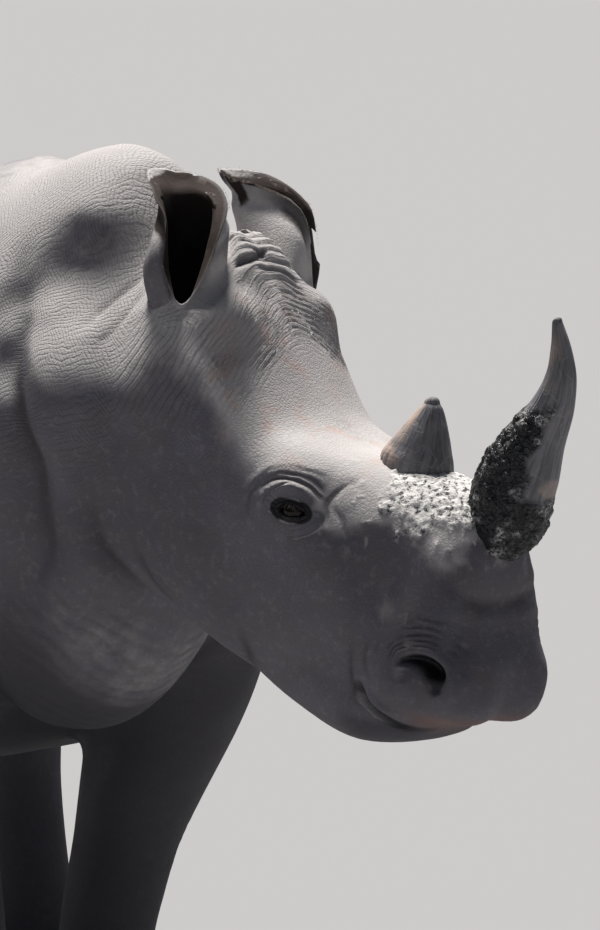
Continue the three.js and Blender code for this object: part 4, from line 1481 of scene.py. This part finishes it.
def strength_setting(name, description, default):
    return FloatProperty(name=name, description=description, default=default, min=0, subtype="FACTOR", soft_max=10)


class RhinoSizes(bpy.types.PropertyGroup):
    hide_voxel: length_setting("Hide step", "Size of the steps in which the hide is first laid on", 0.012)
    hide_triangles: count_setting("Hide triangles", "Triangles of the finished hide", 190000, least=20000)
    eyeball: length_setting("Eyeball", "Radius of an eyeball", EYE_BALL / 1000)
    fringe: length_setting("Ear fringe", "Longest hair on the edge of an ear", 0.005)
    lash: length_setting("Lashes", "Longest eyelash", 0.015)
    tuft: length_setting("Tail tuft", "Longest hair on the tail", 0.26)
    fringe_hairs: count_setting("Fringe hairs", "Hairs on each ear", 260)
    lash_hairs: count_setting("Lash hairs", "Lashes round each eye", 46)
    tuft_hairs: count_setting("Tuft hairs", "Hairs on the tail", 520)
    floor: length_setting("Floor", "Width of the floor", 400.0)
    key: strength_setting("Key light", "Strength of the light overhead", 7.4)
    fill: strength_setting("Fill light", "Strength of the light from all round", 0.10)


class RhinoLook(bpy.types.PropertyGroup):
    grey: colour_setting("Grey", "The hide's darker grey", (0.103, 0.099, 0.118))
    pale_grey: colour_setting("Pale grey", "The hide's paler grey", (0.162, 0.156, 0.180))
    warm_grey: colour_setting("Warm grey", "Brownish patches of the hide", (0.150, 0.127, 0.120))
    # This colour is also painted sunlight on the back's top, the brow and the left ear's lobe.
    dust: colour_setting("Dust", "Dry dust on the back, brow and feet", (0.53, 0.508, 0.50))
    rosy_dust: colour_setting("Rosy dust", "Reddish dust on the forehead", (0.50, 0.37, 0.33))
    # Painted shade for the bottoms of folds and wrinkles.
    crease: colour_setting("Crease", "The bottoms of folds and wrinkles", (0.036, 0.031, 0.034))
    pink: colour_setting("Pink", "Thin skin of the lip and a graze", (0.20, 0.115, 0.10))
    # Mostly painted shade on the belly, the legs and under the lip, with a darker chin and muzzle.
    dark: colour_setting("Dark", "Dark skin of the chin, legs, belly and the ears' edges", (0.040, 0.039, 0.047))
    # Brownish skin inside the ears, darkened as painted shade of the recess.
    ear_inside: colour_setting("Ear skin", "Skin just inside the ears", (0.034, 0.022, 0.018))
    # Darker rim skin and painted shade on the ears' edges.
    ear_rim: colour_setting("Ear edge", "The inner face of the ears' edges", (0.034, 0.027, 0.025))
    # Painted shade: near black for the depths of the ears.
    ear_depth: colour_setting("Ear hollow", "The depths of the ears", (0.004, 0.003, 0.003))
    mud: colour_setting("Dry mud", "Caked mud on the nose", (0.66, 0.645, 0.63))
    # Damp mud, and painted shadow in the mud's hollows.
    mud_shadow: colour_setting("Mud shadow", "Damp hollows of the mud", (0.055, 0.055, 0.060))
    wet_mud: colour_setting("Wet mud", "Wet mud on the front horn", (0.004, 0.0045, 0.006))
    # Wet skin, dark enough to be painted shade as well.
    wet_skin: colour_setting("Wet skin", "Wet skin of the lids' edges and nostrils", (0.008, 0.007, 0.009))
    horn: colour_setting("Horn", "The horns' grey", (0.215, 0.212, 0.232))
    horn_dark: colour_setting("Dark horn", "Dark streaks in the horns", (0.095, 0.093, 0.102))
    horn_pale: colour_setting("Pale horn", "Rubbed and scratched horn", (0.30, 0.285, 0.28))
    horn_tan: colour_setting("Tan horn", "Tan, dusty horn", (0.50, 0.385, 0.32))
    nail: colour_setting("Nail", "The toenails' grey brown", (0.20, 0.165, 0.135))
    nail_dark: colour_setting("Dark nail", "Dark streaks in the toenails", (0.08, 0.068, 0.06))
    iris: colour_setting("Iris", "The eye's dark brown", (0.020, 0.011, 0.007))
    iris_dark: colour_setting("Dark iris", "The eye's darkest brown", (0.006, 0.004, 0.003))
    eye_rim: colour_setting("Eye rim", "The eyeball round the iris", (0.012, 0.009, 0.008))
    hair: colour_setting("Hair", "Brown of the coarse hair", (0.05, 0.038, 0.03))
    hair_dark: colour_setting("Dark hair", "The darkest hair", (0.012, 0.010, 0.010))


# ---- Operators ----

class RHINO_OT_hide(bpy.types.Operator):
    """Lay one hide over all the flesh, with its folds, lids, nostrils, mouth and ears"""
    bl_idname = "rhino.hide"
    bl_label = "Hide"

    def execute(self, context):
        sizes = context.scene.rhino_sizes
        hide = build_hide(sizes.hide_voxel, sizes.hide_triangles)
        mark_hide(hide)
        finish_piece(hide, hide_finish(context.scene.rhino_look), FLESH + EARS)
        return {"FINISHED"}


class RHINO_OT_eyes(bpy.types.Operator):
    """Make the eyeballs"""
    bl_idname = "rhino.eyes"
    bl_label = "Eyes"

    def execute(self, context):
        finish = eye_finish(context.scene.rhino_look)
        for side in SIDES:
            eyeball = build_eye(side, context.scene.rhino_sizes.eyeball * 1000)
            finish_piece(eyeball, finish, ["eye_" + side])
        return {"FINISHED"}


class RHINO_OT_horns(bpy.types.Operator):
    """Make the muddy front horn and the short rear horn"""
    bl_idname = "rhino.horns"
    bl_label = "Horns"

    def execute(self, context):
        look = context.scene.rhino_look
        finish_piece(build_front_horn(), horn_finish(look, "muddy_horn", True), ["horn_front"])
        finish_piece(build_rear_horn(), horn_finish(look, "dry_horn", False), ["horn_rear"])
        return {"FINISHED"}


class RHINO_OT_toenails(bpy.types.Operator):
    """Make the three toenails of each foot"""
    bl_idname = "rhino.toenails"
    bl_label = "Toenails"

    def execute(self, context):
        finish = nail_finish(context.scene.rhino_look)
        for leg in LEGS:
            toes = [f"nail_{leg}_{toe}" for toe in (1, 2, 3)]
            middles = [(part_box(toe)[0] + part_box(toe)[1]) * 500 for toe in toes]
            centre = np.array((middles[0] + middles[2]) / 2) - (60, 0, 0)
            for toe in toes:
                finish_piece(build_nail(toe, centre), finish, [toe])
        return {"FINISHED"}


class RHINO_OT_hair(bpy.types.Operator):
    """Grow the ear fringes, the lashes and the tuft of the tail"""
    bl_idname = "rhino.hair"
    bl_label = "Hair"

    def execute(self, context):
        sizes = context.scene.rhino_sizes
        finish = hair_finish(context.scene.rhino_look)
        finish_piece(ear_fringe(sizes.fringe_hairs, sizes.fringe * 1000), finish, [])
        finish_piece(lashes(sizes.lash_hairs, sizes.lash * 1000), finish, [])
        finish_piece(tail_tuft(sizes.tuft_hairs, sizes.tuft * 1000), finish, ["tail_tuft"])
        return {"FINISHED"}


# The studio: directions towards the sun and from the view to the camera, places in metres, and linear colours.
SUN, SUN_WIDTH, SUN_COLOUR = (-0.41, 0.03, 1), math.radians(14), (1.0, 0.965, 0.92)
SKY_COLOUR, FLOOR_COLOUR = (0.62, 0.74, 1.0), (0.27, 0.27, 0.277)
CAMERA_PLACE, CAMERA_BACK, LENS, SENSOR = (8.482, -2.049, 2.156), (0.9502, -0.2905, 0.1132), 193.5, 36


def turn_back(ob, back):
    """Turns a lamp or a camera so that its own back points along back."""
    ob.rotation_euler = Vector(back).to_track_quat("Z", "Y").to_euler()


class RHINO_OT_stage(bpy.types.Operator):
    """Lay the floor, hang the lights and set up the camera"""
    bl_idname = "rhino.stage"
    bl_label = "Stage"

    def execute(self, context):
        sizes, scene = context.scene.rhino_sizes, context.scene
        bpy.ops.object.select_all(action="DESELECT")
        bpy.ops.mesh.primitive_plane_add(size=sizes.floor, location=(0, 0, 0))
        floor = context.object
        floor.name = "floor"
        plain = Finish("floor", Base_Color=FLOOR_COLOUR, Roughness=0.95, Specular_IOR_Level=0.1)
        floor.data.materials.append(plain.material)
        scene.world = bpy.data.worlds.new("studio")
        scene.world.use_nodes = True
        background = scene.world.node_tree.nodes["Background"]
        background.inputs["Color"].default_value = (*SKY_COLOUR, 1)
        background.inputs["Strength"].default_value = sizes.fill
        bpy.ops.object.light_add(type="SUN", location=(0, 0, 6))
        key = context.object
        key.data.energy, key.data.angle, key.data.color = sizes.key, SUN_WIDTH, SUN_COLOUR
        turn_back(key, SUN)
        bpy.ops.object.camera_add(location=CAMERA_PLACE)
        camera = context.object
        camera.data.lens, camera.data.sensor_width, camera.data.clip_end = LENS, SENSOR, 500
        turn_back(camera, CAMERA_BACK)
        scene.camera = camera
        scene.view_settings.view_transform = "Standard"
        return {"FINISHED"}


STEPS = (RHINO_OT_stage, RHINO_OT_hide, RHINO_OT_eyes, RHINO_OT_horns, RHINO_OT_toenails, RHINO_OT_hair)


class RHINO_PT_panel(bpy.types.Panel):
    """The steps in their order, with the sizes and colours"""
    bl_idname = "RHINO_PT_panel"
    bl_label = "Rhino"
    bl_space_type = "VIEW_3D"
    bl_region_type = "UI"
    bl_category = "Rhino"

    def draw(self, context):
        for step in STEPS:
            self.layout.operator(step.bl_idname)
        for group in (context.scene.rhino_sizes, context.scene.rhino_look):
            column = self.layout.column()
            for setting in group.bl_rna.properties:
                if setting.identifier not in ("rna_type", "name"):
                    column.prop(group, setting.identifier)


CLASSES = (RhinoSizes, RhinoLook, *STEPS, RHINO_PT_panel)


def register():
    for each in CLASSES:
        bpy.utils.register_class(each)
    bpy.types.Scene.rhino_sizes = PointerProperty(type=RhinoSizes)
    bpy.types.Scene.rhino_look = PointerProperty(type=RhinoLook)


def unregister():
    del bpy.types.Scene.rhino_look
    del bpy.types.Scene.rhino_sizes
    for each in reversed(CLASSES):
        bpy.utils.unregister_class(each)


def main():
    register()
    bpy.ops.rhino.stage()
    bpy.ops.rhino.hide()
    bpy.ops.rhino.eyes()
    bpy.ops.rhino.horns()
    bpy.ops.rhino.toenails()
    bpy.ops.rhino.hair()


if __name__ == "__main__":
    main()
